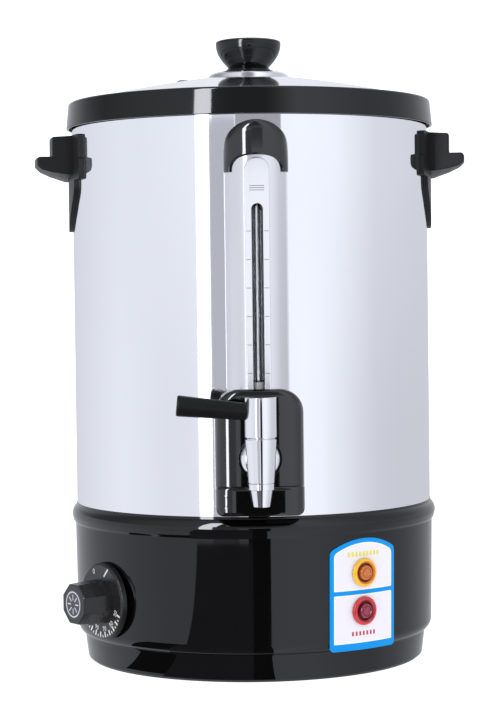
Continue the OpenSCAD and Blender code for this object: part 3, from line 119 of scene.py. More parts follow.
# %% [markdown]
# ## Floor and light
#
# Steel and gloss plastic show the room more than themselves. The room is a white one, with a tall
# bright strip light on the left and a grey card beside it. A black card stands low in front of the
# tap, and a dim one is what the gauge's cap mirrors. Dark sheets lie on the floor in front of the
# base; the one next to the foot is a painted shadow of the urn on the floor, which the plinth mirrors.
# The camera itself sees neither the cards nor the lights.

# %% Floor and cards
STAGE_R = 1500                   # distance of cards and lights from the urn's axis
FLOOR_HALF = 6000
ABOVE_FLOOR = 0.4                # height of the sheets that lie in front of the base


def stage_finish(name, light, albedo=0.0):
    """Finish that gives off an even light, and reflects a share of what falls on it."""
    material = bpy.data.materials.new(name)
    material.use_nodes = True
    tree = material.node_tree
    feed(tree, tree.nodes["Principled BSDF"], {
        "Base Color": (albedo, albedo, albedo, 1), "Roughness": 0.9, "Specular IOR Level": 0.0,
        "Emission Color": (*light, 1), "Emission Strength": 1.0})
    return material


def stage_sheet(name, corners, material, seen=False):
    mesh = bpy.data.meshes.new(name)
    mesh.from_pydata([[c * MM for c in p] for p in corners], [], [list(range(len(corners)))])
    mesh.materials.append(material)
    sheet = bpy.data.objects.new(name, mesh)
    scene.collection.objects.link(sheet)
    if not seen:
        sheet.visible_camera = sheet.visible_diffuse = sheet.visible_shadow = False
    return sheet


def round_point(azimuth, distance, z):
    """Point at an azimuth seen from the urn: 0 towards the tap's side, negative to the left."""
    a = radians(azimuth)
    return (distance * sin(a), -distance * cos(a), z)


def standing_card(name, az0, az1, z0, z1, material):
    corners = ((az0, z0), (az1, z0), (az1, z1), (az0, z1))
    stage_sheet(name, [round_point(a, STAGE_R, z) for a, z in corners], material)


def lying_card(name, az0, az1, near, far, material):
    around = [az0 + (az1 - az0) * s for s in shares(8)]
    stage_sheet(name, [round_point(a, near, ABOVE_FLOOR) for a in around]
                + [round_point(a, far, ABOVE_FLOOR) for a in reversed(around)], material)


floor = stage_sheet("floor", [(x * FLOOR_HALF, y * FLOOR_HALF, 0) for x, y in
                              ((-1, -1), (1, -1), (1, 1), (-1, 1))],
                    stage_finish("floor_white", (1.0, 1.0, 1.0), 0.3), seen=True)
floor.visible_glossy = floor.visible_shadow = False
black = stage_finish("card_black", (0.02, 0.02, 0.02))
grey = stage_finish("card_grey", (0.48, 0.49, 0.55))
dim = stage_finish("card_dim", (0.36, 0.37, 0.41))
dark = stage_finish("card_low", (0.13, 0.13, 0.15))
standing_card("card_beside_strip", -26, -10.5, -200, 560, grey)
standing_card("card_tap", -5, 8, -500, 168, black)
standing_card("card_over_cap", -10, 17, 515, 600, dim)
lying_card("card_low_left", -34.5, -2.5, 144, 850, dark)
lying_card("card_low_middle", -2.5, 4.8, 144, 850, black)
# Painted shadow: a black sheet round the foot, seen only in the plinth's mirror, stands for the urn's
# shadow on the floor.
lying_card("painted_foot_shadow", -53, -34.5, 150, 255, black)
print("floor and cards stand")

# %% Lights
LIGHT_AZIMUTH, LIGHT_MIDDLE = -29, 935
LIGHT_WIDTH, LIGHT_HEIGHT = 265, 1900


def strip_light(name, power):
    data = bpy.data.lights.new(name, "AREA")
    data.shape = "RECTANGLE"
    data.size, data.size_y = LIGHT_WIDTH * MM, LIGHT_HEIGHT * MM
    data.color = (0.96, 0.97, 1.04)
    data.energy = power
    light = bpy.data.objects.new(name, data)
    scene.collection.objects.link(light)
    light.location = Vector(round_point(LIGHT_AZIMUTH, STAGE_R, LIGHT_MIDDLE)) * MM
    aim = Vector((0, 0, LIGHT_MIDDLE * MM)) - light.location
    light.rotation_euler = aim.to_track_quat("-Z", "Y").to_euler()
    light.visible_camera = light.visible_diffuse = False
    return light


strip_on_plastic = strip_light("strip_on_plastic", 24)
strip_on_metal = strip_light("strip_on_metal", 2.4)
scene.view_settings.view_transform = "Standard"

# %% The room that mirrors show
LAVENDER = (0.967, 1.0, 1.08)
# Brightness of the room's walls by azimuth: low down, at the height of the drum, and higher up.
ROOM_LOW = ((-180, 0.66), (-118, 0.82), (-94, 0.88), (-75, 0.85), (-58, 0.81), (-43, 0.82),
            (30, 1.0), (42, 0.97), (56, 0.85), (66, 0.78), (83, 0.67), (105, 0.64), (180, 0.62))
ROOM_LEVEL = ((-180, 0.66), (-117, 0.81), (-94, 0.85), (-75, 0.85), (30, 1.0), (54, 0.97),
              (85, 0.76), (180, 0.64))
ROOM_HIGH = ((-180, 0.86), (-150, 0.6), (-125, 0.3), (-104, 0.32), (-80, 0.57), (-60, 0.7),
             (-26, 0.8), (-25.5, 0.42), (-12, 0.3), (8, 0.28), (14, 0.45), (28, 1.15), (43, 1.1),
             (59, 0.92), (76, 0.72), (95, 0.6), (120, 0.6), (150, 0.8), (180, 0.86))
LOW_TO_LEVEL, LEVEL_TO_HIGH = (-0.07, 0.06), (0.1, 0.2)      # heights on the unit sphere


def mirrored_room(tree):
    """Lavender white background whose brightness follows the three lists above."""
    split = add_node(tree, "ShaderNodeSeparateXYZ",
                     {0: tree.nodes.new("ShaderNodeTexCoord").outputs["Generated"]})
    back = add_node(tree, "ShaderNodeMath", {0: split.outputs["Y"], 1: -1}, operation="MULTIPLY")
    azimuth = add_node(tree, "ShaderNodeMath", {0: split.outputs["X"], 1: back.outputs[0]},
                       operation="ARCTAN2")

    def share(value, low, high):
        return add_node(tree, "ShaderNodeMapRange",
                        {"Value": value, "From Min": low, "From Max": high}).outputs["Result"]

    def walls(levels):
        ramp = add_node(tree, "ShaderNodeValToRGB", {"Fac": share(azimuth.outputs[0], -pi, pi)})
        stops = ramp.color_ramp.elements
        while len(stops) < len(levels):
            stops.new(0.5)
        for stop, (angle, level) in zip(stops, levels):
            stop.position = (angle + 180) / 360
            stop.color = (*(level * tint for tint in LAVENDER), 1)
        return ramp.outputs["Color"]

    shown = walls(ROOM_LOW)
    for levels, heights in ((ROOM_LEVEL, LOW_TO_LEVEL), (ROOM_HIGH, LEVEL_TO_HIGH)):
        shown = add_node(tree, "ShaderNodeMix",
                         {"Factor": share(split.outputs["Z"], *heights), "A": shown,
                          "B": walls(levels)}, data_type="RGBA").outputs["Result"]
    return add_node(tree, "ShaderNodeBackground", {"Color": shown})


def white_room():
    """Bright white behind the urn, plain white on its dull faces, lavender white in its mirrors."""
    scene.world = bpy.data.worlds.new("white_room")
    scene.world.use_nodes = True
    tree = scene.world.node_tree
    white = (1, 1, 1, 1)
    shown = feed(tree, tree.nodes["Background"], {"Color": white})
    behind = add_node(tree, "ShaderNodeBackground", {"Color": white, "Strength": 1.5})
    path = tree.nodes.new("ShaderNodeLightPath")
    for kind, light in (("Is Glossy Ray", mirrored_room(tree)), ("Is Camera Ray", behind)):
        shown = add_node(tree, "ShaderNodeMixShader", {
            "Fac": path.outputs[kind], 1: shown.outputs[0], 2: light.outputs[0]})
    feed(tree, tree.nodes["World Output"], {"Surface": shown.outputs[0]})


white_room()
print("world:", scene.world.name)

# %% [markdown]
# ## Finishes
#
# Every finish here starts from one recipe: a base colour with a second, slightly different one
# worked in by noise, a roughness that wanders between two values, and a fine bump. The noise reads
# object coordinates, so a grain can be stretched along the way the steel was rolled or the piece
# was turned. What differs is the scale, the stretch and how much each one shows.

# %% One recipe for all finishes
FINISH = {}                      # every finish by its name


def spun_place(tree, place):
    """Coordinates that change only with the distance from the upright axis, for a grain in rings."""
    split = add_node(tree, "ShaderNodeSeparateXYZ", {0: place})
    flat = add_node(tree, "ShaderNodeCombineXYZ", {"X": split.outputs["X"], "Y": split.outputs["Y"]})
    radius = add_node(tree, "ShaderNodeVectorMath", {0: flat.outputs[0]}, operation="LENGTH")
    return add_node(tree, "ShaderNodeCombineXYZ", {"X": radius.outputs["Value"]}).outputs[0]


def surface(name, colour, second, rough, grain, wander, bump, metallic=0, spun=False, **sockets):
    """Adds a node material: two colours, the range of its roughness, the scale of its grain in 1/m
    (one number, or one for each axis), the scale of its broad changes, and its bump in mm."""
    FINISH[name] = material = bpy.data.materials.new(name)
    material.use_nodes = True
    tree = material.node_tree
    place = tree.nodes.new("ShaderNodeTexCoord").outputs["Object"]
    mapping = add_node(tree, "ShaderNodeMapping", {
        "Vector": spun_place(tree, place) if spun else place,
        "Scale": grain if isinstance(grain, tuple) else (grain, grain, grain)})
    fine = add_node(tree, "ShaderNodeTexNoise",
                    {"Vector": mapping.outputs[0], "Scale": 1.0, "Detail": 3.0}).outputs["Fac"]
    broad = add_node(tree, "ShaderNodeTexNoise",
                     {"Vector": place, "Scale": wander, "Detail": 2.0}).outputs["Fac"]
    both = add_node(tree, "ShaderNodeMix", {"Factor": 0.5, "A": fine, "B": broad})
    tint = add_node(tree, "ShaderNodeMix", {"Factor": broad, "A": (*colour, 1), "B": (*second, 1)},
                    data_type="RGBA")
    dull = add_node(tree, "ShaderNodeMapRange", {
        "Value": both.outputs["Result"], "From Min": 0.3, "From Max": 0.7, "To Min": rough[0],
        "To Max": rough[1]})
    raised = add_node(tree, "ShaderNodeBump",
                      {"Strength": 1.0, "Distance": bump * MM, "Height": fine})
    feed(tree, tree.nodes["Principled BSDF"], {
        "Base Color": tint.outputs["Result"], "Roughness": dull.outputs["Result"],
        "Normal": raised.outputs[0], "Metallic": metallic,
        **{socket.replace("_", " "): value for socket, value in sockets.items()}})


# %% [markdown]
# ### Steel and chrome
#
# The drum is bright-rolled steel: nearly a mirror, with the faintest upright hairlines. The lid was
# spun on a lathe, so its hairlines are rings. Chrome on the tap has no grain at all, only a slight
# unevenness in its shine.

# %% Metals
def metal(name, *recipe, **more):
    surface(name, *recipe, metallic=1, **more)


metal("drum_steel", (0.93, 0.93, 0.955), (0.9, 0.9, 0.935), (0.035, 0.06), (420, 420, 5), 9, 0.0002)
metal("lid_steel", (0.93, 0.93, 0.95), (0.9, 0.9, 0.93), (0.06, 0.1), (900, 1, 1), 14, 0.0012, spun=True)
# Painted shade: the guard's steel is a darker copy of the strip's, so that the guard's sides look
# shaded.
metal("guard_steel_painted_shade", (0.8, 0.8, 0.825), (0.76, 0.76, 0.79), (0.14, 0.2), (420, 420, 5), 12, 0.0004)
metal("strip_steel", (0.95, 0.95, 0.965), (0.92, 0.92, 0.945), (0.09, 0.14), (420, 420, 5), 12, 0.0004)
metal("tank_steel", (0.74, 0.74, 0.76), (0.68, 0.68, 0.71), (0.22, 0.34), (40, 40, 700), 20, 0.004)
metal("chrome", (0.93, 0.93, 0.945), (0.9, 0.9, 0.925), (0.02, 0.05), 60, 30, 0.0006)
metal("vent_steel", (0.24, 0.24, 0.255), (0.34, 0.34, 0.355), (0.3, 0.42), 500, 90, 0.006)
metal("bright_steel", (0.72, 0.72, 0.74), (0.62, 0.62, 0.65), (0.18, 0.32), 500, 90, 0.006)
metal("disc_silver", (0.9, 0.9, 0.92), (0.8, 0.8, 0.83), (0.12, 0.2), 300, 120, 0.004)
metal("disc_grey", (0.1, 0.1, 0.115), (0.14, 0.14, 0.155), (0.25, 0.35), 300, 120, 0.004)
metal("brass", (0.83, 0.62, 0.3), (0.74, 0.52, 0.24), (0.2, 0.34), (60, 60, 900), 60, 0.006)
metal("copper", (0.8, 0.46, 0.3), (0.62, 0.33, 0.22), (0.22, 0.4), 200, 80, 0.004)
metal("alloy", (0.6, 0.6, 0.62), (0.5, 0.5, 0.52), (0.42, 0.6), 700, 60, 0.03)
metal("element_steel", (0.34, 0.3, 0.27), (0.2, 0.17, 0.2), (0.35, 0.55), 300, 45, 0.01)
print("metals:", list(FINISH))

# %% [markdown]
# ### Plastics, rubber and print
#
# The base, cap and surround are gloss mouldings: black, with a skin that is nearly flat. The
# handles, the lever and the dial have a satin skin. A printed film carries the two lamps.

# %% Plastics and rubber
surface("base_plastic", (0.001, 0.001, 0.0012), (0.0018, 0.0018, 0.002), (0.03, 0.06), 110, 25, 0.003)
surface("trim_gloss", (0.0012, 0.0012, 0.0014), (0.002, 0.002, 0.0022), (0.04, 0.08), 150, 40, 0.001,
        Specular_IOR_Level=0.8)
surface("grip_satin", (0.006, 0.006, 0.0065), (0.009, 0.009, 0.0095), (0.34, 0.44), 900, 60, 0.006,
        Specular_IOR_Level=0.22)
surface("black_trim", (0.002, 0.002, 0.0022), (0.004, 0.004, 0.0042), (0.07, 0.13), 150, 40, 0.004,
        Specular_IOR_Level=0.45)
surface("collar_black", (0.001, 0.001, 0.0012), (0.0018, 0.0018, 0.002), (0.04, 0.07), 120, 30, 0.003)
surface("lever_black", (0.003, 0.003, 0.0032), (0.005, 0.005, 0.0052), (0.3, 0.42), 1800, 60, 0.012,
        Specular_IOR_Level=0.22)
surface("dial_black", (0.01, 0.01, 0.011), (0.015, 0.015, 0.016), (0.2, 0.3), 1600, 70, 0.008)
surface("under_plastic", (0.035, 0.035, 0.038), (0.045, 0.045, 0.048), (0.5, 0.66), 1400, 80, 0.03)
surface("ceramic_tan", (0.7, 0.64, 0.54), (0.62, 0.56, 0.46), (0.45, 0.6), 900, 90, 0.02)
surface("rubber", (0.03, 0.03, 0.031), (0.042, 0.042, 0.043), (0.7, 0.85), 1500, 100, 0.03)
surface("silicone", (0.58, 0.58, 0.6), (0.52, 0.52, 0.54), (0.38, 0.5), 600, 80, 0.01)
surface("wire_red", (0.55, 0.05, 0.04), (0.45, 0.035, 0.03), (0.4, 0.52), 500, 70, 0.01)
print("finishes so far:", len(FINISH))

# %% Film and print
surface("film_white", (0.81, 0.8, 0.89), (0.78, 0.77, 0.87), (0.28, 0.38), 1200, 120, 0.004,
        Specular_IOR_Level=0.2)
surface("film_edge", (0.93, 0.94, 0.95), (0.9, 0.92, 0.94), (0.28, 0.38), 1200, 120, 0.004,
        Specular_IOR_Level=0.2)
surface("film_blue", (0.001, 0.3, 0.8), (0.001, 0.27, 0.76), (0.28, 0.38), 1200, 120, 0.004,
        Specular_IOR_Level=0.15)
surface("print_white", (0.8, 0.8, 0.81), (0.72, 0.72, 0.74), (0.4, 0.55), 2500, 400, 0.004)
surface("print_grey", (0.12, 0.12, 0.13), (0.17, 0.17, 0.18), (0.4, 0.5), 2500, 400, 0.002)
surface("print_yellow", (0.8, 0.74, 0.1), (0.74, 0.66, 0.08), (0.3, 0.4), 2500, 400, 0.002)
surface("print_red", (0.55, 0.05, 0.07), (0.48, 0.04, 0.06), (0.3, 0.4), 2500, 400, 0.002)
print("finishes so far:", len(FINISH))

# %% Clear and coloured plastics
def lamp_ring(name, colour, second):
    surface(name, colour, second, (0.12, 0.2), 300, 70, 0.003, Coat_Weight=0.6)


def lamp_lens(name, colour, second, rough, **more):
    surface(name, colour, second, rough, 900, 160, 0.003, **more)


# Painted shade: each lamp's inner slope is a darker copy of its ring's colour.
lamp_ring("amber_ring", (0.9, 0.42, 0.012), (0.92, 0.6, 0.03))
lamp_ring("amber_slope", (0.7, 0.16, 0.01), (0.78, 0.24, 0.02))
# Painted shade: the well round each lens is a dark copy of the lens's colour, for the shade in its
# recess.
lamp_lens("amber_shaded_well", (0.1, 0.022, 0.004), (0.16, 0.04, 0.008), (0.1, 0.2))
lamp_lens("amber_lens", (0.5, 0.11, 0.012), (0.62, 0.18, 0.03), (0.08, 0.16), Coat_Weight=0.8)
lamp_ring("red_ring", (0.62, 0.03, 0.026), (0.54, 0.02, 0.022))
lamp_ring("red_slope", (0.42, 0.016, 0.022), (0.36, 0.012, 0.03))
lamp_lens("red_shaded_well", (0.045, 0.004, 0.014), (0.07, 0.007, 0.02), (0.1, 0.2))
lamp_lens("red_lens", (0.22, 0.01, 0.035), (0.3, 0.018, 0.05), (0.08, 0.16), Coat_Weight=0.8)
surface("gauge_glass", (0.97, 0.98, 0.98), (0.94, 0.96, 0.96), (0.0, 0.03), (80, 80, 20), 20, 0.0002,
        Transmission_Weight=1.0, IOR=1.47)
print("finishes:", len(FINISH))

# %% [markdown]
# ## From outline to mesh
#
# A turned piece is an outline that goes once round an axis, so one Geometry Nodes tree makes all of
# them: it takes an outline drawn as edges, radius across and height up, and sweeps it along a small
# circle. Corners get their rounding in the outline itself.

# %% Outlines
def oval(x, y, rx, ry, a0, a1, steps):
    """Points on an oval about (x, y) from angle a0 to a1 in degrees."""
    turns = [radians(a0 + (a1 - a0) * s) for s in shares(steps)]
    return [(x + rx * cos(a), y + ry * sin(a)) for a in turns]


def arc(x, y, r, a0, a1, steps=6):
    return oval(x, y, r, r, a0, a1, steps)


def rounded(corners, steps=4):
    """Closed outline through corners (x, y) or (x, y, rounding)."""
    points = []
    for i, corner in enumerate(corners):
        here = Vector(corner[:2])
        if len(corner) < 3:
            points.append(tuple(here))
            continue
        before = Vector(corners[i - 1][:2]) - here
        after = Vector(corners[(i + 1) % len(corners)][:2]) - here
        half = before.angle(after) / 2
        length = min(corner[2] / tan(half), 0.49 * before.length, 0.49 * after.length)
        r = length * tan(half)
        middle = here + (before.normalized() + after.normalized()).normalized() * r / sin(half)
        start, end = here + before.normalized() * length, here + after.normalized() * length
        a0, a1 = (degrees(atan2(*(p - middle).yx)) for p in (start, end))
        swing = (a1 - a0 + 180) % 360 - 180
        points += arc(middle.x, middle.y, r, a0, a0 + swing, steps)
    return points


# %% Making and running a Geometry Nodes tree
def new_tree(name, sockets):
    """Tree with the named inputs given as name: type, and the outputs that hold those inputs."""
    tree = bpy.data.node_groups.new(name, "GeometryNodeTree")
    for label, kind in {"Geometry": "Geometry", "Finish": "Material", **sockets}.items():
        tree.interface.new_socket(label, in_out="INPUT", socket_type="NodeSocket" + kind)
    tree.interface.new_socket("Geometry", in_out="OUTPUT", socket_type="NodeSocketGeometry")
    return tree, tree.nodes.new("NodeGroupInput").outputs


def end_tree(tree, geometry, given):
    """Last steps of every tree: its geometry made real and given its finish."""
    real = add_node(tree, "GeometryNodeRealizeInstances", {"Geometry": geometry})
    dressed = add_node(tree, "GeometryNodeSetMaterial",
                       {"Geometry": real.outputs[0], "Material": given["Finish"]})
    add_node(tree, "NodeGroupOutput", {"Geometry": dressed.outputs[0]})
    return tree


def run_tree(tree, finish, place, inputs, start=None):
    """Plain mesh that a tree makes, from a start mesh if it needs one, put in its place."""
    host = bpy.data.objects.new("host", start or bpy.data.meshes.new("none"))
    scene.collection.objects.link(host)
    modifier = host.modifiers.new("tree", "NODES")
    modifier.node_group = tree
    inputs = {"Finish": FINISH[finish], **inputs}
    for item in tree.interface.items_tree:
        if item.in_out == "INPUT" and item.name in inputs:
            modifier[item.identifier] = inputs[item.name]
    graph = bpy.context.evaluated_depsgraph_get()
    mesh = bpy.data.meshes.new_from_object(host.evaluated_get(graph), depsgraph=graph)
    bpy.data.objects.remove(host)
    mesh.transform(place)
    return mesh


# %% The tree for turned pieces
CORE = 1.0                       # radius of the small circle that an outline is swept along


def turned_tree():
    tree, given = new_tree("turned_piece", {"Steps": "Int"})
    outline = add_node(tree, "GeometryNodeMeshToCurve", {"Mesh": given["Geometry"]})
    circle = add_node(tree, "GeometryNodeCurvePrimitiveCircle",
                      {"Resolution": given["Steps"], "Radius": CORE * MM})
    sweep = add_node(tree, "GeometryNodeCurveToMesh", {
        "Curve": circle.outputs["Curve"], "Profile Curve": outline.outputs["Curve"]})
    merged = add_node(tree, "GeometryNodeMergeByDistance",
                      {"Geometry": sweep.outputs["Mesh"], "Distance": 1e-6})
    return end_tree(tree, merged.outputs[0], given)


TURNED = turned_tree()


def turned(outline, finish, steps=128, place=Matrix()):
    """Mesh of a closed outline of (radius, height) turned about the upright axis, then placed."""
    start = bpy.data.meshes.new("outline")
    ring = [(i, (i + 1) % len(outline)) for i in range(len(outline))]
    start.from_pydata([((r - CORE) * MM, -z * MM, 0) for r, z in outline], ring, [])
    return run_tree(TURNED, finish, place, {"Steps": steps}, start)


# %% From mesh to finished piece
def tidy(mesh, sharp):
    """Merges doubles, turns every face outwards and shades all but the sharp edges smooth."""
    bm = bmesh.new()
    bm.from_mesh(mesh)
    bmesh.ops.remove_doubles(bm, verts=bm.verts, dist=2e-6)
    bmesh.ops.dissolve_degenerate(bm, edges=bm.edges, dist=1e-7)
    bmesh.ops.recalc_face_normals(bm, faces=bm.faces)
    bm.to_mesh(mesh)
    bm.free()
    mesh.shade_smooth()
    mesh.set_sharp_from_angle(angle=radians(sharp))


def freeze(piece):
    """Puts what a piece's modifiers make into its mesh, and removes them."""
    graph = bpy.context.evaluated_depsgraph_get()
    piece.data = bpy.data.meshes.new_from_object(piece.evaluated_get(graph), depsgraph=graph,
                                                 preserve_all_data_layers=True)
    piece.modifiers.clear()


def finish_piece(name, mesh, body, nodes, finish=None, sharp=32, wall=0.0, bevel=0.0):
    """Object from a mesh, with a wall and bevelled edges, that rides a body for CAD nodes.

    Shading is weighted by face area at the end, so that flat faces look flat up to their edges.
    """
    if finish:
        mesh.materials.clear()
        mesh.materials.append(FINISH[finish])
    tidy(mesh, sharp)
    piece = bpy.data.objects.new(name, mesh)
    scene.collection.objects.link(piece)
    if wall:
        skin = piece.modifiers.new("wall", "SOLIDIFY")
        skin.thickness, skin.offset, skin.use_even_offset = wall * MM, -1, True
    if bevel:
        edge = piece.modifiers.new("edge", "BEVEL")
        edge.width, edge.segments, edge.harden_normals = bevel * MM, 3, False
        edge.limit_method, edge.angle_limit = "ANGLE", radians(sharp)
    if wall or bevel:
        freeze(piece)
        tidy(piece.data, sharp)
    even = piece.modifiers.new("even", "WEIGHTED_NORMAL")
    even.keep_sharp = True
    freeze(piece)
    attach(piece, body)
    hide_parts(*nodes)
    print(name, len(piece.data.polygons), "faces")


# %% Lofts and joins
def lofted(rings, caps=(0, -1), closed=True, finish=None):
    """Mesh through rings of points in mm, each joined to the next, with some of them filled."""
    count = len(rings[0])
    faces = [[k * count + i, k * count + (i + 1) % count, (k + 1) * count + (i + 1) % count,
              (k + 1) * count + i]
             for k in range(len(rings) - 1) for i in range(count if closed else count - 1)]
    if closed:
        faces += [[k % len(rings) * count + i for i in range(count)] for k in caps]
    mesh = bpy.data.meshes.new("loft")
    mesh.from_pydata([[c * MM for c in p] for ring in rings for p in ring], [], faces)
    if finish:
        mesh.materials.append(FINISH[finish])
    return mesh


def joined(*meshes):
    """One mesh out of several, with their materials."""
    parts = [bpy.data.objects.new("part", m) for m in meshes]
    for part in parts:
        scene.collection.objects.link(part)
    with bpy.context.temp_override(active_object=parts[0], selected_editable_objects=parts,
                                   selected_objects=parts):
        bpy.ops.object.join()
    mesh = parts[0].data
    bpy.data.objects.remove(parts[0])
    return mesh


ACROSS = [2 * s - 1 for s in shares(24)]         # even steps from one side, -1, to the other, 1


def chord(r, x):
    """How far out a circle of radius r is, x to the side of its middle."""
    return sqrt(r * r - x * x)


def quarter(r=1.0):
    """Insets and set-backs of a rounded edge, from its side round to its front."""
    return [(r * (1 - cos(radians(a))), r * (1 - sin(radians(a)))) for a in range(0, 91, 15)]


# %% [markdown]
# ## Base
#
# The base is one deep moulding: a plinth, a wall that leans out a little, a crease, and a bulged
# band under the drum. It is the shape of a spun pot, so it is turned. The pad behind the power
# inlet is a shallow block with rounded corners, lofted through its outline at five depths.

# %% Base
base_line = (arc(140.8, 2.7, 1.5, -90, 0) + [(144.5, 20.5)]                          # plinth
             + arc(140.3, 31, 10, -62, 0, 8)                                          # foot of the wall
             + [(151.55, 114.6), (151.75, 115.2), (152.1, 115.8), (153.2, 117.2)]     # crease
             + arc(144.68, 122.48, 9.52, -25, 52, 14) + [(150.25, 132)])              # band
base_inside = [(150.1, 131.9), (150.1, 121), (140, 118), (140, 20), (134, 6), (131.5, 6),
               (131.5, 1.2), (134.4, 1.2), (134.4, 3.25), (140.55, 3.25), (140.55, 1.2)]
TO_BACK = shift(0, 0, 62) @ turn(-90, "X")
PAD_HALF_W, PAD_HALF_H, PAD_CORNER = 29, 17, 3
PAD_EDGE = ((0, 147), (0, 152.4), (0.1, 152.8), (0.35, 153.05), (0.8, 153.2))  # inset, distance


def inlet_pad():
    """Block that stands a little proud of the wall, with the edge of its face rounded."""
    def ring(x, y, z):
        corners = [(i * x, j * y, PAD_CORNER) for i, j in ((1, 1), (-1, 1), (-1, -1), (1, -1))]
        return [(*p, z) for p in rounded(corners, 5)]

    mesh = lofted([ring(PAD_HALF_W - inset, PAD_HALF_H - inset, z) for inset, z in PAD_EDGE],
                  finish="base_plastic")
    mesh.transform(TO_BACK)
    return mesh


finish_piece("base", joined(turned(base_line + base_inside, "base_plastic", 192), inlet_pad()),
             "urn", ["base_housing"], sharp=38)

# %% Foot ring
foot = rounded([(134.5, 0, 1), (140.5, 0, 1), (140.5, 3.2), (134.5, 3.2)])
finish_piece("foot", turned(foot, "rubber", 96), "urn", ["foot_ring"])

# %% [markdown]
# ## Drum and collar
#
# The drum is a plain rolled wall. The black collar grips its top edge: its face leans in a little
# towards the rounded top, and the lid drops into its inner side.

# %% Drum and collar
drum_line = [(150, 121.2), (150, 459), (149.2, 459), (149.2, 121.2)]
finish_piece("drum", turned(drum_line, "drum_steel", 256), "urn", ["drum_shell"])
collar_line = ([(152.6, 446)] + arc(154.1, 446.6, 0.6, -90, 5, 4)
               + arc(150.4, 465.0, 2.5, 5, 90, 10) + arc(149.9, 466.5, 1, 90, 180, 5)
               + [(148.9, 461.2), (150.3, 461.1), (150.3, 452), (152.4, 451)])
finish_piece("collar", turned(collar_line, "collar_black", 256), "urn",
             ["top_collar"])

# %% [markdown]
# ## Lid and knob
#
# The lid's dome is between a cone and a parabola, and ends in a small rolled edge. A raised boss
# carries the knob, which flares from a waist to a flat top, so that fingers find it.

# %% Lid
LID_R, LID_EDGE, LID_TOP, LID_WALL = 146.8, 466.8, 494.1, 0.85
DOME_RISE, DOME_POWER = 24, 1.45                 # a power of 1 makes a cone and 2 a parabola
BOSS_FLAT = 20.5                                 # radius of the boss's flat top


def dome(r, drop=0.0):
    """Height of the dome's outer face at radius r, lowered by drop."""
    return LID_EDGE + DOME_RISE * (1 - (r / LID_R) ** DOME_POWER) - drop


def lid_outline():
    top = [(0, LID_TOP), (BOSS_FLAT, LID_TOP)] + oval(BOSS_FLAT, 489.5, 13.5, 4.6, 80, 8, 9)
    top += [(34.6, dome(34.6) + 0.25), (35.6, dome(35.6) + 0.05)]
    top += [(r, dome(r)) for r in range(38, 147, 4)] + [(LID_R, LID_EDGE)]
    top += arc(LID_R, 465.2, 1.6, 90, 0) + [(148.4, 461.1)]
    under = [(147.6, 461.1), (147.6, 465)] + [(r, dome(r, LID_WALL)) for r in range(146, 141, -2)]
    ring = [(140.4, dome(140.4, 0.8)), (140.4, 451.1), (139.6, 451.1), (139.6, dome(139.6, 0.8))]
    dish = [(r, dome(r, LID_WALL)) for r in range(138, 35, -6)]
    return top + under + ring + dish + [(33.2, 488.9), (19.8, 493.3), (0, 493.3)]


finish_piece("lid", turned(lid_outline(), "lid_steel", 224), "lid", ["lid_dome"])

# %% Knob and vent
knob_line = ([(0, 0), (18.9, 0), (19.3, 0.5), (19.0, 1.5), (17.6, 2.6)]
             + [(27.6 - 10.4 * (1 - s) ** 2, 3.4 + 19.6 * s) for s in shares(14)]
             + arc(26.1, 24.0, 1.5, 0, 60, 4)
             + [(25.2, 26.0), (23.6, 26.35), (19, 26.6), (13.8, 26.7), (0, 26.8)])
finish_piece("knob", turned(knob_line, "black_trim", 96, shift(0, 0, LID_TOP + 0.05)), "lid",
             ["lid_knob"], sharp=40)
VENT_R = 55
vent_line = rounded([(1.7, -4), (5.4, -3.9), (5.4, -2.8, 0.3), (3.9, -2.7), (3.9, 0.9), (6.2, 0.9),
                     (6.2, 1.15, 0.2), (4.3, 2.45, 0.4), (1.7, 2.45, 0.3)])
finish_piece("vent", turned(vent_line, "vent_steel", 48, shift(-VENT_R, 0, dome(VENT_R))), "lid",
             ["lid_vent"])
print("lid top at", LID_TOP)

# %% [markdown]
# ## Handles
#
# Each handle is a block with a lip under which the fingers go, on a plate that hugs the drum. The
# block is lofted along a shallow curve through its section, whose underside rises towards the ends.
# The plate is lofted too: each of its rows goes round its section at one height.

# %% Handle block
GRIP_CENTRE, GRIP_HALF = -23.0, 12.68            # centre of the grip's curve, half its angle


def grip_section(share):
    """Section as (distance, height). Its lip is deepest in the middle, where share is 0."""
    deep = 1 - share * share
    return rounded(
        [(168, 406.8 - 3.8 * deep), (168, 439.4), (192, 437.8, 1.6), (192, 421.5, 0.9),
         (204.5, 421.5, 2.6), (204.4, 414, 2.0), (201, 411 - 0.2 * deep, 1.5),
         (193, 408.8 - 1.8 * deep, 4), (185, 407.6 - 3.4 * deep, 3), (180, 407 - 4.6 * deep, 1)])


def handle_block(side):
    rings = []
    for share in ACROSS:
        a = radians(GRIP_HALF * share)
        rings.append([(side * (GRIP_CENTRE + r * cos(a)), r * sin(a), z)
                      for r, z in grip_section(share)])
    return lofted(rings)


# %% Handle plate
PLATE_FACE, PLATE_BACK = 153.5, 150.1            # distances from the drum's axis
# Half the plate's width, and the height where it is as wide.
plate_side = [(1, 360), (7, 360.2), (13, 362.2), (20, 366.8), (27, 372), (32.5, 377), (37.5, 383),
              (41.5, 387.3), (44.5, 392), (45.7, 397), (46, 401.7), (56.6, 402), (58.4, 402.6),
              (59, 404), (59, 417.6), (58.5, 418.8), (57.5, 419.6), (57.5, 437.3), (57, 438.6),
              (56, 439)]


def handle_plate(side):
    """Closed loft: each row goes over the plate's outer face and back over its inner face."""
    round_it = [(PLATE_FACE, s) for s in ACROSS] + [(PLATE_BACK, s) for s in reversed(ACROSS)]
    return lofted([[(side * chord(r, w * s), w * s, z) for r, s in round_it]
                   for w, z in plate_side])


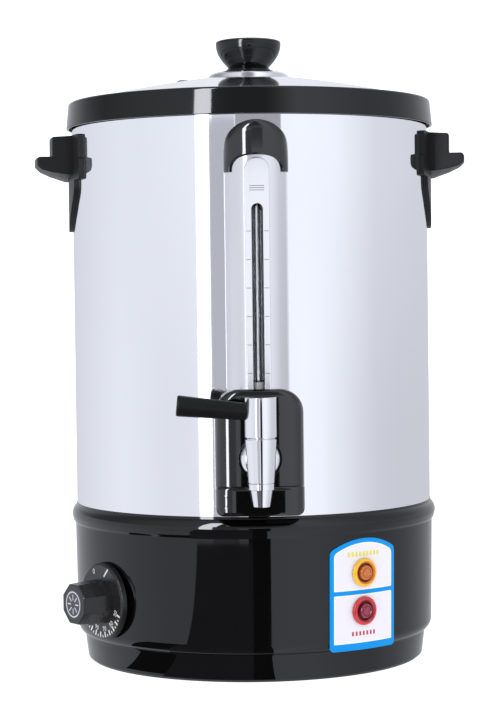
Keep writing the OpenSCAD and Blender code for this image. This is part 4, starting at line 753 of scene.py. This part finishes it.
for side, name in ((-1, "left"), (1, "right")):
    for part, mesh, bevel in (("block", handle_block(side), 0.8), ("plate", handle_plate(side), 0.7)):
        finish_piece("handle_" + part + "_" + name, mesh, "urn", ["handle_" + name],
                     "grip_satin", sharp=40, bevel=bevel)

# %% [markdown]
# ## Level gauge
#
# A bright half-round guard covers the sight tube. A flat strip with a round top is pressed out of
# its front, and a slot in the strip shows the water in the tube. A black cap closes the top.

# %% Guard
GUARD_HALF, GUARD_BACK, GUARD_DEPTH = 24.75, -148.0, 25.3
GUARD_FULLNESS = 0.8             # 1 makes half an oval, less a squarer shape
OPEN_HALF, OPEN_TOP = 6, 378     # the part behind the strip that is left open


def guard_y(x, out=0.0):
    """How far forward the guard's wall is at x, offset outwards by out."""
    t = acos(max(-1, min(1, x / (GUARD_HALF + out))))
    return GUARD_BACK - (GUARD_DEPTH + out) * sin(t) ** GUARD_FULLNESS


def guard_wall():
    """Half-round wall, open where the strip covers its front."""
    plan = [(x, guard_y(x)) for x, y in arc(0, 0, GUARD_HALF, 0, 180, 60)]
    mesh = lofted([[(*p, z) for p in plan] for z in (224, 240, 300, OPEN_TOP, 408, 418)],
                  closed=False)
    bm = bmesh.new()
    bm.from_mesh(mesh)
    middles = {face: face.calc_center_median() for face in bm.faces}
    covered = [face for face, middle in middles.items()
               if abs(middle.x) < OPEN_HALF * MM and middle.z < OPEN_TOP * MM]
    bmesh.ops.delete(bm, geom=covered, context="FACES")
    bm.to_mesh(mesh)
    bm.free()
    return mesh


finish_piece("guard", guard_wall(), "urn", ["gauge_guard"], "guard_steel_painted_shade", wall=1.0)

# %% Strip with its slot
STRIP_Y, STRIP_WIDTH, STRIP_FOOT, STRIP_TOP = -174.0, 19.2, 226, 411.2
SLOT_WIDTH, SLOT_TOP = 8.8, 375.4
ROLL = 1.2                       # radius of the strip's rolled edge


def gauge_strip():
    """Flat strip between an outer and an inner arch, with its outer edge rolled back."""
    def ring(width, top, back):
        r = width / 2
        line = [(r, STRIP_FOOT)] + arc(0, top - r, r, 0, 180, 20) + [(-r, STRIP_FOOT)]
        return [(x, STRIP_Y + back, z) for x, z in line]

    rings = [ring(STRIP_WIDTH, STRIP_TOP, 2.6)]
    rings += [ring(STRIP_WIDTH - 2 * inset, STRIP_TOP - inset, back) for inset, back in quarter(ROLL)]
    rings += [ring(SLOT_WIDTH + 2 * out, SLOT_TOP + out, back) for out, back in
              ((0.4, 0), (0.12, 0.12), (0, 0.4), (0, 1.6))]
    return lofted(rings, closed=False)


finish_piece("strip", gauge_strip(), "urn", ["gauge_guard"], "strip_steel", sharp=50)

# %% [markdown]
# The level marks and the marks on the dial are the same job: small bars along an arc or a line. One
# tree sets a bar on every point it is given and turns it by the point's own turn.

# %% The tree for marks
def marks_tree():
    tree, given = new_tree("marks", {"Count": "Int", "Radius": "Float", "Start": "Float",
                                     "Sweep": "Float", "Rise": "Float", "Bar": "Vector"})

    def maths(operation, a, b):
        return add_node(tree, "ShaderNodeMath", {0: a, 1: b}, operation=operation).outputs[0]

    index = add_node(tree, "GeometryNodeInputIndex").outputs[0]
    share = maths("DIVIDE", index, maths("MAXIMUM", maths("SUBTRACT", given["Count"], 1), 1))
    angle = maths("ADD", given["Start"], maths("MULTIPLY", given["Sweep"], share))
    spot = add_node(tree, "ShaderNodeCombineXYZ", {
        "X": maths("MULTIPLY", given["Radius"], maths("COSINE", angle, 0)),
        "Y": maths("MULTIPLY", given["Radius"], maths("SINE", angle, 0)),
        "Z": maths("MULTIPLY", given["Rise"], share)})
    points = add_node(tree, "GeometryNodePoints",
                      {"Count": given["Count"], "Position": spot.outputs[0]})
    bar = add_node(tree, "GeometryNodeMeshCube", {"Size": given["Bar"]})
    angles = add_node(tree, "ShaderNodeCombineXYZ", {"Z": angle})
    placed = add_node(tree, "GeometryNodeInstanceOnPoints", {
        "Points": points.outputs[0], "Instance": bar.outputs["Mesh"],
        "Rotation": angles.outputs[0]})
    return end_tree(tree, placed.outputs[0], given)


MARKS = marks_tree()


def marks(count, radius, start, sweep, bar, finish, rise=0.0, place=Matrix()):
    """Bars (radial, along, upright) on an arc, with the last one raised by rise."""
    return run_tree(MARKS, finish, place, {
        "Count": count, "Radius": radius * MM, "Start": radians(start), "Sweep": radians(sweep),
        "Rise": rise * MM, "Bar": [b * MM for b in bar]})


# %% Level marks
def level_marks(count, x, low, rise, width, height):
    """Bars one above another on the strip, from the height low."""
    return marks(count, 0, 90, 0, (0.12, width, height), "print_grey", rise,
                 shift(x, STRIP_Y - 0.01, low))


# Six levels each side of the slot, and a filled mark at the highest fill.
levels = joined(level_marks(6, -6.9, 245.1, 109.2, 3.6, 0.45),
                level_marks(6, 6.9, 245.1, 109.2, 3.6, 0.45),
                level_marks(3, 0, 385.6, 3.4, 11.4, 0.5))
finish_piece("level_marks", levels, "urn", ["gauge_guard"])

# %% Cap
CAP_OUT, CAP_HALF, CAP_FOOT = 2.0, 25.3, 400.0
ARCH_UP, ARCH_R = 11.2, 29                       # centre of the cap's arch above its foot, radius
WINDOW_HALF, WINDOW_RISE = 20.2, 12.7


def cap_outer(a):
    """How far the outline is from the middle of the cap's foot in direction a: sides and an arch."""
    side = CAP_HALF / max(abs(cos(a)), 1e-6)
    arch = ARCH_UP * sin(a) + chord(ARCH_R, ARCH_UP * cos(a))
    return (side ** -16 + arch ** -16) ** (-1 / 16)


def cap_window(a):
    """The same for the window between the cap's two legs."""
    return (abs(cos(a) / WINDOW_HALF) ** 2.5 + abs(sin(a) / WINDOW_RISE) ** 2.5) ** -0.4


def cap_edge(a):
    """How much the cap's outer edge is rounded in direction a: most at the top."""
    return 0.8 + 4.7 * sin(a)


def gauge_cap():
    """Skin from the drum over the rounded edge and the bowed front to the window's lip."""
    turns = [pi * s for s in shares(60)]

    def ring(reach, back):
        spots = [(reach(a) * cos(a), CAP_FOOT + reach(a) * sin(a), back(a)) for a in turns]
        return [(x, guard_y(x, CAP_OUT) + y, z) for x, z, y in spots]

    def brow(inset, back):
        return ring(lambda a: cap_outer(a) - cap_edge(a) * inset, lambda a: cap_edge(a) * back)

    def front(share):
        return ring(lambda a: (1 - share) * (cap_outer(a) - cap_edge(a))
                    + share * (cap_window(a) + 1.5), lambda a: 0)

    def lip(wider, back):
        return ring(lambda a: cap_window(a) + wider, lambda a: back)

    rings = [[(x, GUARD_BACK - 1, z) for x, y, z in brow(0, 1)]]
    rings += [brow(inset, back) for inset, back in quarter()]
    rings += [front(s) for s in shares(6)[1:]] + [lip(0.9, 0.35), lip(0.3, 1.1), lip(0, 2.2)]
    return lofted(rings, closed=False)


finish_piece("cap", gauge_cap(), "urn", ["gauge_cap"], "trim_gloss", sharp=60,
             wall=1.2)

# %% Sight tube
tube_line = rounded([(2.8, 213), (4, 213, 0.3), (4, 412, 0.3), (2.8, 412)])
finish_piece("tube", turned(tube_line, "gauge_glass", 48, shift(0, -164, 0)), "urn",
             ["sight_tube"])

# %% [markdown]
# ## Tap surround
#
# The surround is a hood round the tap's root. Its front bows out, its upper corners are large and
# its edges are soft, so it is lofted from its outline at the drum to smaller and smaller copies of
# that outline on the front. A lower hood that stands out further makes its step.

# %% Tap surround
SURROUND_LOW, SURROUND_TOP, SURROUND_HALF = 135.6, 233.0, 34.5
SURROUND_FRONT, SURROUND_SIDE = -180.0, -168.5   # where the front is in the middle and at a side
STEP_OUT, STEP_TOP = 2.4, 158.6


def hood_outline(inset, z0, z1, top, low, parts=40):
    """Outline seen from the front, made smaller by inset, as (x, z) going round. Its straight
    stretches are divided as well, so that they can follow the bowed front."""
    w, r_top, r_low = SURROUND_HALF - inset, max(top - inset, 0), max(low - inset, 0)
    low_z, top_z = z0 + inset, z1 - inset
    corners = [arc(w - r_top, top_z - r_top, r_top, 0, 90, 8),
               arc(r_top - w, top_z - r_top, r_top, 90, 180, 8),
               arc(r_low - w, low_z + r_low, r_low, 180, 270, 8),
               arc(w - r_low, low_z + r_low, r_low, 270, 360, 8)]
    line = []
    for corner, following in zip(corners, corners[1:] + corners[:1]):
        x, z = corner[-1]
        dx, dz = following[0][0] - x, following[0][1] - z
        line += corner + [(x + dx * s, z + dz * s) for s in shares(parts)[1:-1]]
    return line


def hood(z0, z1, extra, edge, top, low, bow):
    """Hood whose bowed front stands out by extra, with its edge rounded by edge and its upper and
    lower corners by top and low.

    The front is nearly flat in the middle and turns ever faster towards the sides: the larger
    the bow's power, the later it turns.
    """
    def front(x):
        share = min(1, abs(x) / SURROUND_HALF)
        return SURROUND_SIDE - extra + (SURROUND_FRONT - SURROUND_SIDE) * sqrt(1 - share ** bow)

    def ring(inset, back):
        return [(x, front(x) + back, z) for x, z in hood_outline(inset, z0, z1, top, low)]

    rings = [[(x, y, z) for x, z in hood_outline(0, z0, z1, top, low)] for y in (-140, -150, -160)]
    rings += [ring(inset, back) for inset, back in quarter(edge)]
    deepest = min(SURROUND_HALF, (z1 - z0) / 2)
    rings += [ring(edge + (deepest - edge) * s, 0) for s in shares(24)[1:]]
    return lofted(rings, caps=(0,))


FORWARD = shift(0, 0, 179.7) @ turn(90, "X")     # from the upright axis to the tap's root
tap_pad = rounded([(0, 165), (17, 165), (17, 180.4, 0.4), (0, 180.4)])
surround = joined(hood(SURROUND_LOW, SURROUND_TOP, extra=0, edge=5, top=19, low=6, bow=4),
                  hood(SURROUND_LOW, STEP_TOP, extra=STEP_OUT, edge=3, top=3, low=6, bow=6),
                  turned(tap_pad, "trim_gloss", 64, FORWARD))
finish_piece("surround", surround, "urn", ["tap_surround"], "trim_gloss", sharp=50)

# %% [markdown]
# ## Tap
#
# A lever tap in chrome: a domed rose against the surround, a tapered body, a bonnet that turns with
# the lever, and a nozzle held by a ring. All of these are turned. The lever is a tapered rod, thick
# at its end so that a hot hand can push it.

# %% Tap body, rose and nozzle
TAP_Y = -200
TAP = shift(0, TAP_Y, 0)
body_line = rounded([(4.6, 163), (9.9, 163, 0.5), (12.1, 196.1, 0.3), (11.1, 196.9), (9.2, 197),
                     (9.2, 206), (4.6, 206)])
shank_line = [(4, 184), (8.5, 184), (8.5, 195), (4, 195)]
body = joined(turned(body_line, "chrome", 96, TAP), turned(shank_line, "chrome", 64, FORWARD))
finish_piece("tap_barrel", body, "urn", ["tap_body"])
rose = ([(7.2, 180.45), (14.7, 180.45), (15.2, 180.95)] + oval(8.8, 180.95, 6.4, 5, 8, 88, 10)
        + [(7.2, 185.95)])
finish_piece("rose", turned(rose, "chrome", 96, FORWARD), "urn", ["tap_flange"])
nozzle = rounded([(4.6, 145, 0.2), (6.5, 145, 0.5), (8.7, 157.95), (9.8, 157.95, 0.4),
                  (9.8, 162.95, 0.4), (7, 162.95), (7, 167), (4.6, 167)])
finish_piece("nozzle", turned(nozzle, "chrome", 96, TAP), "urn", ["tap_nozzle"])

# %% Bonnet and lever
bonnet = rounded([(0, 214), (9.3, 206), (9.3, 197.2), (11.2, 197.2), (12.2, 198.1, 0.3),
                  (12.2, 228.2, 0.9), (0, 228.2)])
finish_piece("bonnet", turned(bonnet, "chrome", 96, TAP), "tap_handle", ["tap_bonnet"])
LEVER = shift(-10.2, TAP_Y, 217.2) @ turn(-84.3, "Y")
lever = rounded([(0, 0), (6.5, 0, 0.6), (8.1, 53.6, 1.5), (0, 53.6)], 6)
finish_piece("lever", turned(lever, "lever_black", 64, LEVER), "tap_handle",
             ["tap_lever"])

# %% [markdown]
# ## Dial
#
# The dial is a thin skirt with an eight-sided grip. Ticks and plain temperature numbers are printed
# on the skirt, and a grey disc with a bright ring and star is let into the grip's end.

# %% Dial
DIAL_AZ, DIAL_Z = -54.5, 59
DIAL_SEAT = 151.633                              # distance of the skirt's back from the urn's axis
ON_DIAL = turn(DIAL_AZ, "Z") @ shift(0, -DIAL_SEAT, DIAL_Z) @ turn(90, "X")
skirt_line = rounded([(0, 0), (31.2, 0, 0.4), (31.0, 4.2, 0.7), (29.1, 5.2, 0.3), (0, 5.2)])


def dial_grip():
    """Eight-sided grip, narrower at its end, with its corners eased."""
    rings = []
    for z, r in ((4.5, 18.5), (12, 18.1), (22, 17.55), (30.4, 17.05), (31.2, 16.3)):
        corners = [(x, y, 0.9) for x, y in arc(0, 0, r, 22.5, 337.5, 7)]
        rings.append([(*p, z) for p in rounded(corners, 2)])
    return lofted(rings)


grip = dial_grip()
grip.transform(ON_DIAL)
dial_mesh = joined(turned(skirt_line, "dial_black", 128, ON_DIAL), grip)
finish_piece("dial_knob", dial_mesh, "dial", ["dial"], "dial_black", sharp=25)

# %% Disc in the dial's grip
DISC_FACE = 31.35
disc = rounded([(0, 30.6), (12, 30.6), (12, DISC_FACE, 0.2), (0, DISC_FACE)])
finish_piece("dial_disc", turned(disc, "disc_grey", 64, ON_DIAL), "dial",
             ["dial_cap"])
# A bright ring round a plain star of eight bars, raised a little above the grey disc.
disc_ring = rounded([(9.4, DISC_FACE - 0.1), (10.5, DISC_FACE - 0.1), (10.5, DISC_FACE + 0.15, 0.1),
                     (9.4, DISC_FACE + 0.15, 0.1)], 2)
star = marks(8, 5.6, 0, 315, (4.6, 1.0, 0.2), "disc_silver",
             place=ON_DIAL @ shift(0, 0, DISC_FACE + 0.05))
finish_piece("dial_star", joined(turned(disc_ring, "disc_silver", 64, ON_DIAL), star), "dial",
             ["dial_cap"])

# %% Dial print
SCALE_START, SCALE_SWEEP = -134.0, 114.0         # degrees, from the lower left to the lower right
PRINT_Z = 5.21                                   # just above the skirt's face
PRINT_THICK = 0.08


def number(text, size, place):
    """Flat numerals as a mesh, a hair above the face that they are printed on."""
    curve = bpy.data.curves.new("print", "FONT")
    curve.body, curve.size, curve.align_x, curve.align_y = text, size * MM, "CENTER", "CENTER"
    curve.extrude = 0.03 * MM
    host = bpy.data.objects.new("print", curve)
    scene.collection.objects.link(host)
    graph = bpy.context.evaluated_depsgraph_get()
    mesh = bpy.data.meshes.new_from_object(host.evaluated_get(graph))
    bpy.data.objects.remove(host)
    mesh.materials.clear()
    mesh.materials.append(FINISH["print_white"])
    mesh.transform(place)
    return mesh


def dial_print():
    """Nine long and eight short ticks, the index, the zero, and a number at every other long tick."""
    face = ON_DIAL @ shift(0, 0, PRINT_Z)

    def ticks(count, radius, start, sweep, length, width, place=face):
        return marks(count, radius, start, sweep, (length, width, PRINT_THICK), "print_white",
                     place=place)

    between = SCALE_SWEEP / 16
    parts = [ticks(9, 27.0, SCALE_START, SCALE_SWEEP, 4.4, 1.6),
             ticks(8, 28.2, SCALE_START + between, SCALE_SWEEP - 2 * between, 2.0, 1.0),
             ticks(1, 0, 90, 0, 8.8, 1.6, face @ shift(8.2, 23.6, 0) @ turn(-44, "Z")),
             number("0", 6.0, face @ shift(-9.5, 23.2, 0))]
    for share, text in zip(shares(4), ("110", "90", "70", "50", "30")):
        spot = turn(SCALE_START + SCALE_SWEEP * share, "Z") @ shift(22.6, 0, 0) @ turn(90, "Z")
        parts.append(number(text, 5.4, face @ spot))
    return joined(*parts)


finish_piece("dial_print", dial_print(), "dial", ["dial"])

# %% [markdown]
# ## Lamp panel
#
# A printed film with an arched top is bent round the base. It is blue with two pale fields, one for
# each lamp. The film is lofted row by row, and each row lies on the wall's round.

# %% Films
PANEL = turn(33, "Z")
FILM = turn(33.5, "Z")           # the film sits a little further round than the lamps
WALL_R, WALL_LOW, WALL_LEAN = 150.3, 31, 1.3 / 84
FILM_WALL = 0.85
FILM_FACE, EDGE_FACE, FIELD_FACE, MARK_FACE = 0.97, 1.0, 1.05, 1.06    # how far off the wall


def wall_r(z):
    """Radius of the base's wall at height z."""
    return WALL_R + WALL_LEAN * (z - WALL_LOW)


def film(side, finish, proud):
    """Film whose right edge is a list of (half width, height), proud of the wall."""
    mesh = lofted([[(w * s, -chord(wall_r(z) + proud, w * s), z) for s in ACROSS] for w, z in side],
                  closed=False, finish=finish)
    mesh.transform(FILM)
    return mesh


def arch_side(w, low, peak, rise, corner):
    """Right edge of a film with rounded lower corners and an arched top."""
    r = (w * w + rise * rise) / (2 * rise)
    shoulder = peak - rise
    side = arc(w - corner, low + corner, corner, -90, 0, 5)
    side += [(w, shoulder - 4), (w - 0.15, shoulder - 1.8), (w - 0.8, shoulder)]
    over = [(w - 2.2) * cos(radians(t)) for t in (0, 12, 24, 36, 48, 60, 70, 80, 87)]
    return side + [(x, peak - r + chord(r, x)) for x in over]


def square_side(w, low, high, corner=0.8):
    return (arc(w - corner, low + corner, corner, -90, 0, 3)
            + arc(w - corner, high - corner, corner, 0, 90, 3))


# %% Lamp panel
back = film(arch_side(32.4, 22.5, 111.4, 9.4, 3.5), "film_blue", FILM_FACE)
finish_piece("panel_film", back, "urn", ["lamp_panel"], wall=FILM_WALL)
fields = joined(film(arch_side(28.9, 70.3, 108.0, 8.2, 0.9), "film_edge", EDGE_FACE),
                film(square_side(28.9, 28.2, 66.8), "film_edge", EDGE_FACE),
                film(arch_side(28.1, 71.1, 107.2, 8.0, 0.9), "film_white", FIELD_FACE),
                film(square_side(28.1, 29.0, 66.0), "film_white", FIELD_FACE))
finish_piece("panel_fields", fields, "urn", ["lamp_panel"], wall=0.05)
# Plain bars stand where the panel is labelled.
bars = joined(marks(9, wall_r(99) + MARK_FACE, -95.4, 10.8, (0.1, 2.3, 3.6), "print_yellow",
                    place=PANEL @ shift(0, 0, 99.0)),
              marks(7, wall_r(36) + MARK_FACE, -94.0, 8.0, (0.1, 1.8, 3.4), "print_red",
                    place=PANEL @ shift(0, 0, 35.6)))
finish_piece("panel_marks", bars, "urn", ["lamp_panel"])

# %% [markdown]
# ### Lamps
#
# Each lamp is a coloured ring round a deeper lens. Rings of small beads on the lens break up the
# light, so a tree sets a bead on every point of three circles.

# %% The tree for lens beads
def beads_tree():
    tree, given = new_tree("lens_beads", {"Radius": "Float", "Count": "Int", "Bead": "Float"})
    circle = add_node(tree, "GeometryNodeMeshCircle",
                      {"Vertices": given["Count"], "Radius": given["Radius"]})
    bead = add_node(tree, "GeometryNodeMeshUVSphere",
                    {"Radius": given["Bead"], "Segments": 10, "Rings": 6})
    placed = add_node(tree, "GeometryNodeInstanceOnPoints",
                      {"Points": circle.outputs["Mesh"], "Instance": bead.outputs["Mesh"]})
    return end_tree(tree, placed.outputs[0], given)


BEADS = beads_tree()
BEAD = 0.55                      # radius of a bead

# %% Lamps
LAMP_R = 11.5
LAMP_SEAT = 0.05                 # gap between the film and a lamp's ring


def lamp(name, z):
    """Bright ring with a darker inner slope and a dark well inside it, both of them painted shade, and
    a ridged and beaded lens that stands in the well."""
    face = wall_r(z + LAMP_R) + FILM_FACE + LAMP_SEAT
    place = PANEL @ shift(0, -face, z) @ turn(90, "X")
    ring = rounded([(9.2, 0), (11.7, 0, 0.5), (11.3, 2.2, 0.9), (9.9, 3.2, 0.6), (9.2, 3.1, 0.2)])
    slope = rounded([(7.7, 0), (9.3, 0), (9.3, 3.05, 0.2), (8.8, 3.0, 0.4), (7.7, 2.0, 0.4)])
    finish_piece(name + "_ring", joined(turned(ring, name + "_ring", 64, place),
                                        turned(slope, name + "_slope", 64, place)),
                 "urn", [name + "_lamp"])
    well = [(0, 0.1), (7.8, 0.1), (7.8, 1.8), (7.3, 1.8), (6.6, 0.4), (0, 0.4)]
    lens = [(0, 0.3), (5.8, 0.3), (5.8, 3.2)] + arc(5.0, 3.2, 0.8, 15, 90, 4)
    lens += [(4.2, 4.0), (3.9, 3.6), (3.5, 3.6), (3.2, 4.2), (1.5, 4.3), (0, 4.35)]
    parts = [turned(well, name + "_shaded_well", 64, place), turned(lens, name + "_lens", 64, place)]
    parts += [run_tree(BEADS, name + "_lens", place @ shift(0, 0, 4.0),
                       {"Radius": r * MM, "Count": count, "Bead": BEAD * MM})
              for r, count in ((1.3, 5), (2.7, 9), (4.8, 16))]
    finish_piece(name + "_glass", joined(*parts), "urn", [name + "_lamp"])


lamp("amber", 84.04)
lamp("red", 53.54)

# %% [markdown]
# ## Everything else
#
# The pieces inside the base, the tank and the fittings keep their CAD shape. Each gets the finish
# of its own material slot.

# %% Finishes for the CAD nodes
OTHER_NAME = {"fastener_steel": "bright_steel", "dial_silver": "disc_silver",
              "panel_film": "film_white"}        # slots whose finish has another name
for part in frame["record"]["subparts"]:
    slot = part["material_slot"]
    node = frame["nodes"][part["node"]]
    node.data.materials.clear()
    node.data.materials.append(FINISH[OTHER_NAME.get(slot, slot)])
print("finished CAD nodes:", len(frame["nodes"]))

# %% [markdown]
# ## One strip for plastic, one for metal
#
# Gloss plastic mirrors only a twentieth of the light, and metal nearly all of it. So the strip light
# is there twice, in the same place: a strong one that only the plastic pieces see, and a mild one
# for the metal, where the strong one would burn out everything round its reflection.

# %% Light linking
def is_metal(piece):
    shader = piece.active_material.node_tree.nodes["Principled BSDF"]
    return shader.inputs["Metallic"].default_value > 0.5


pieces = [o for o in scene.objects if o.type == "MESH" and o.active_material]
for light, wants_metal in ((strip_on_metal, True), (strip_on_plastic, False)):
    lit = bpy.data.collections.new(light.name)
    for piece in pieces:
        if is_metal(piece) == wants_metal:
            lit.objects.link(piece)
    light.light_linking.receiver_collection = lit
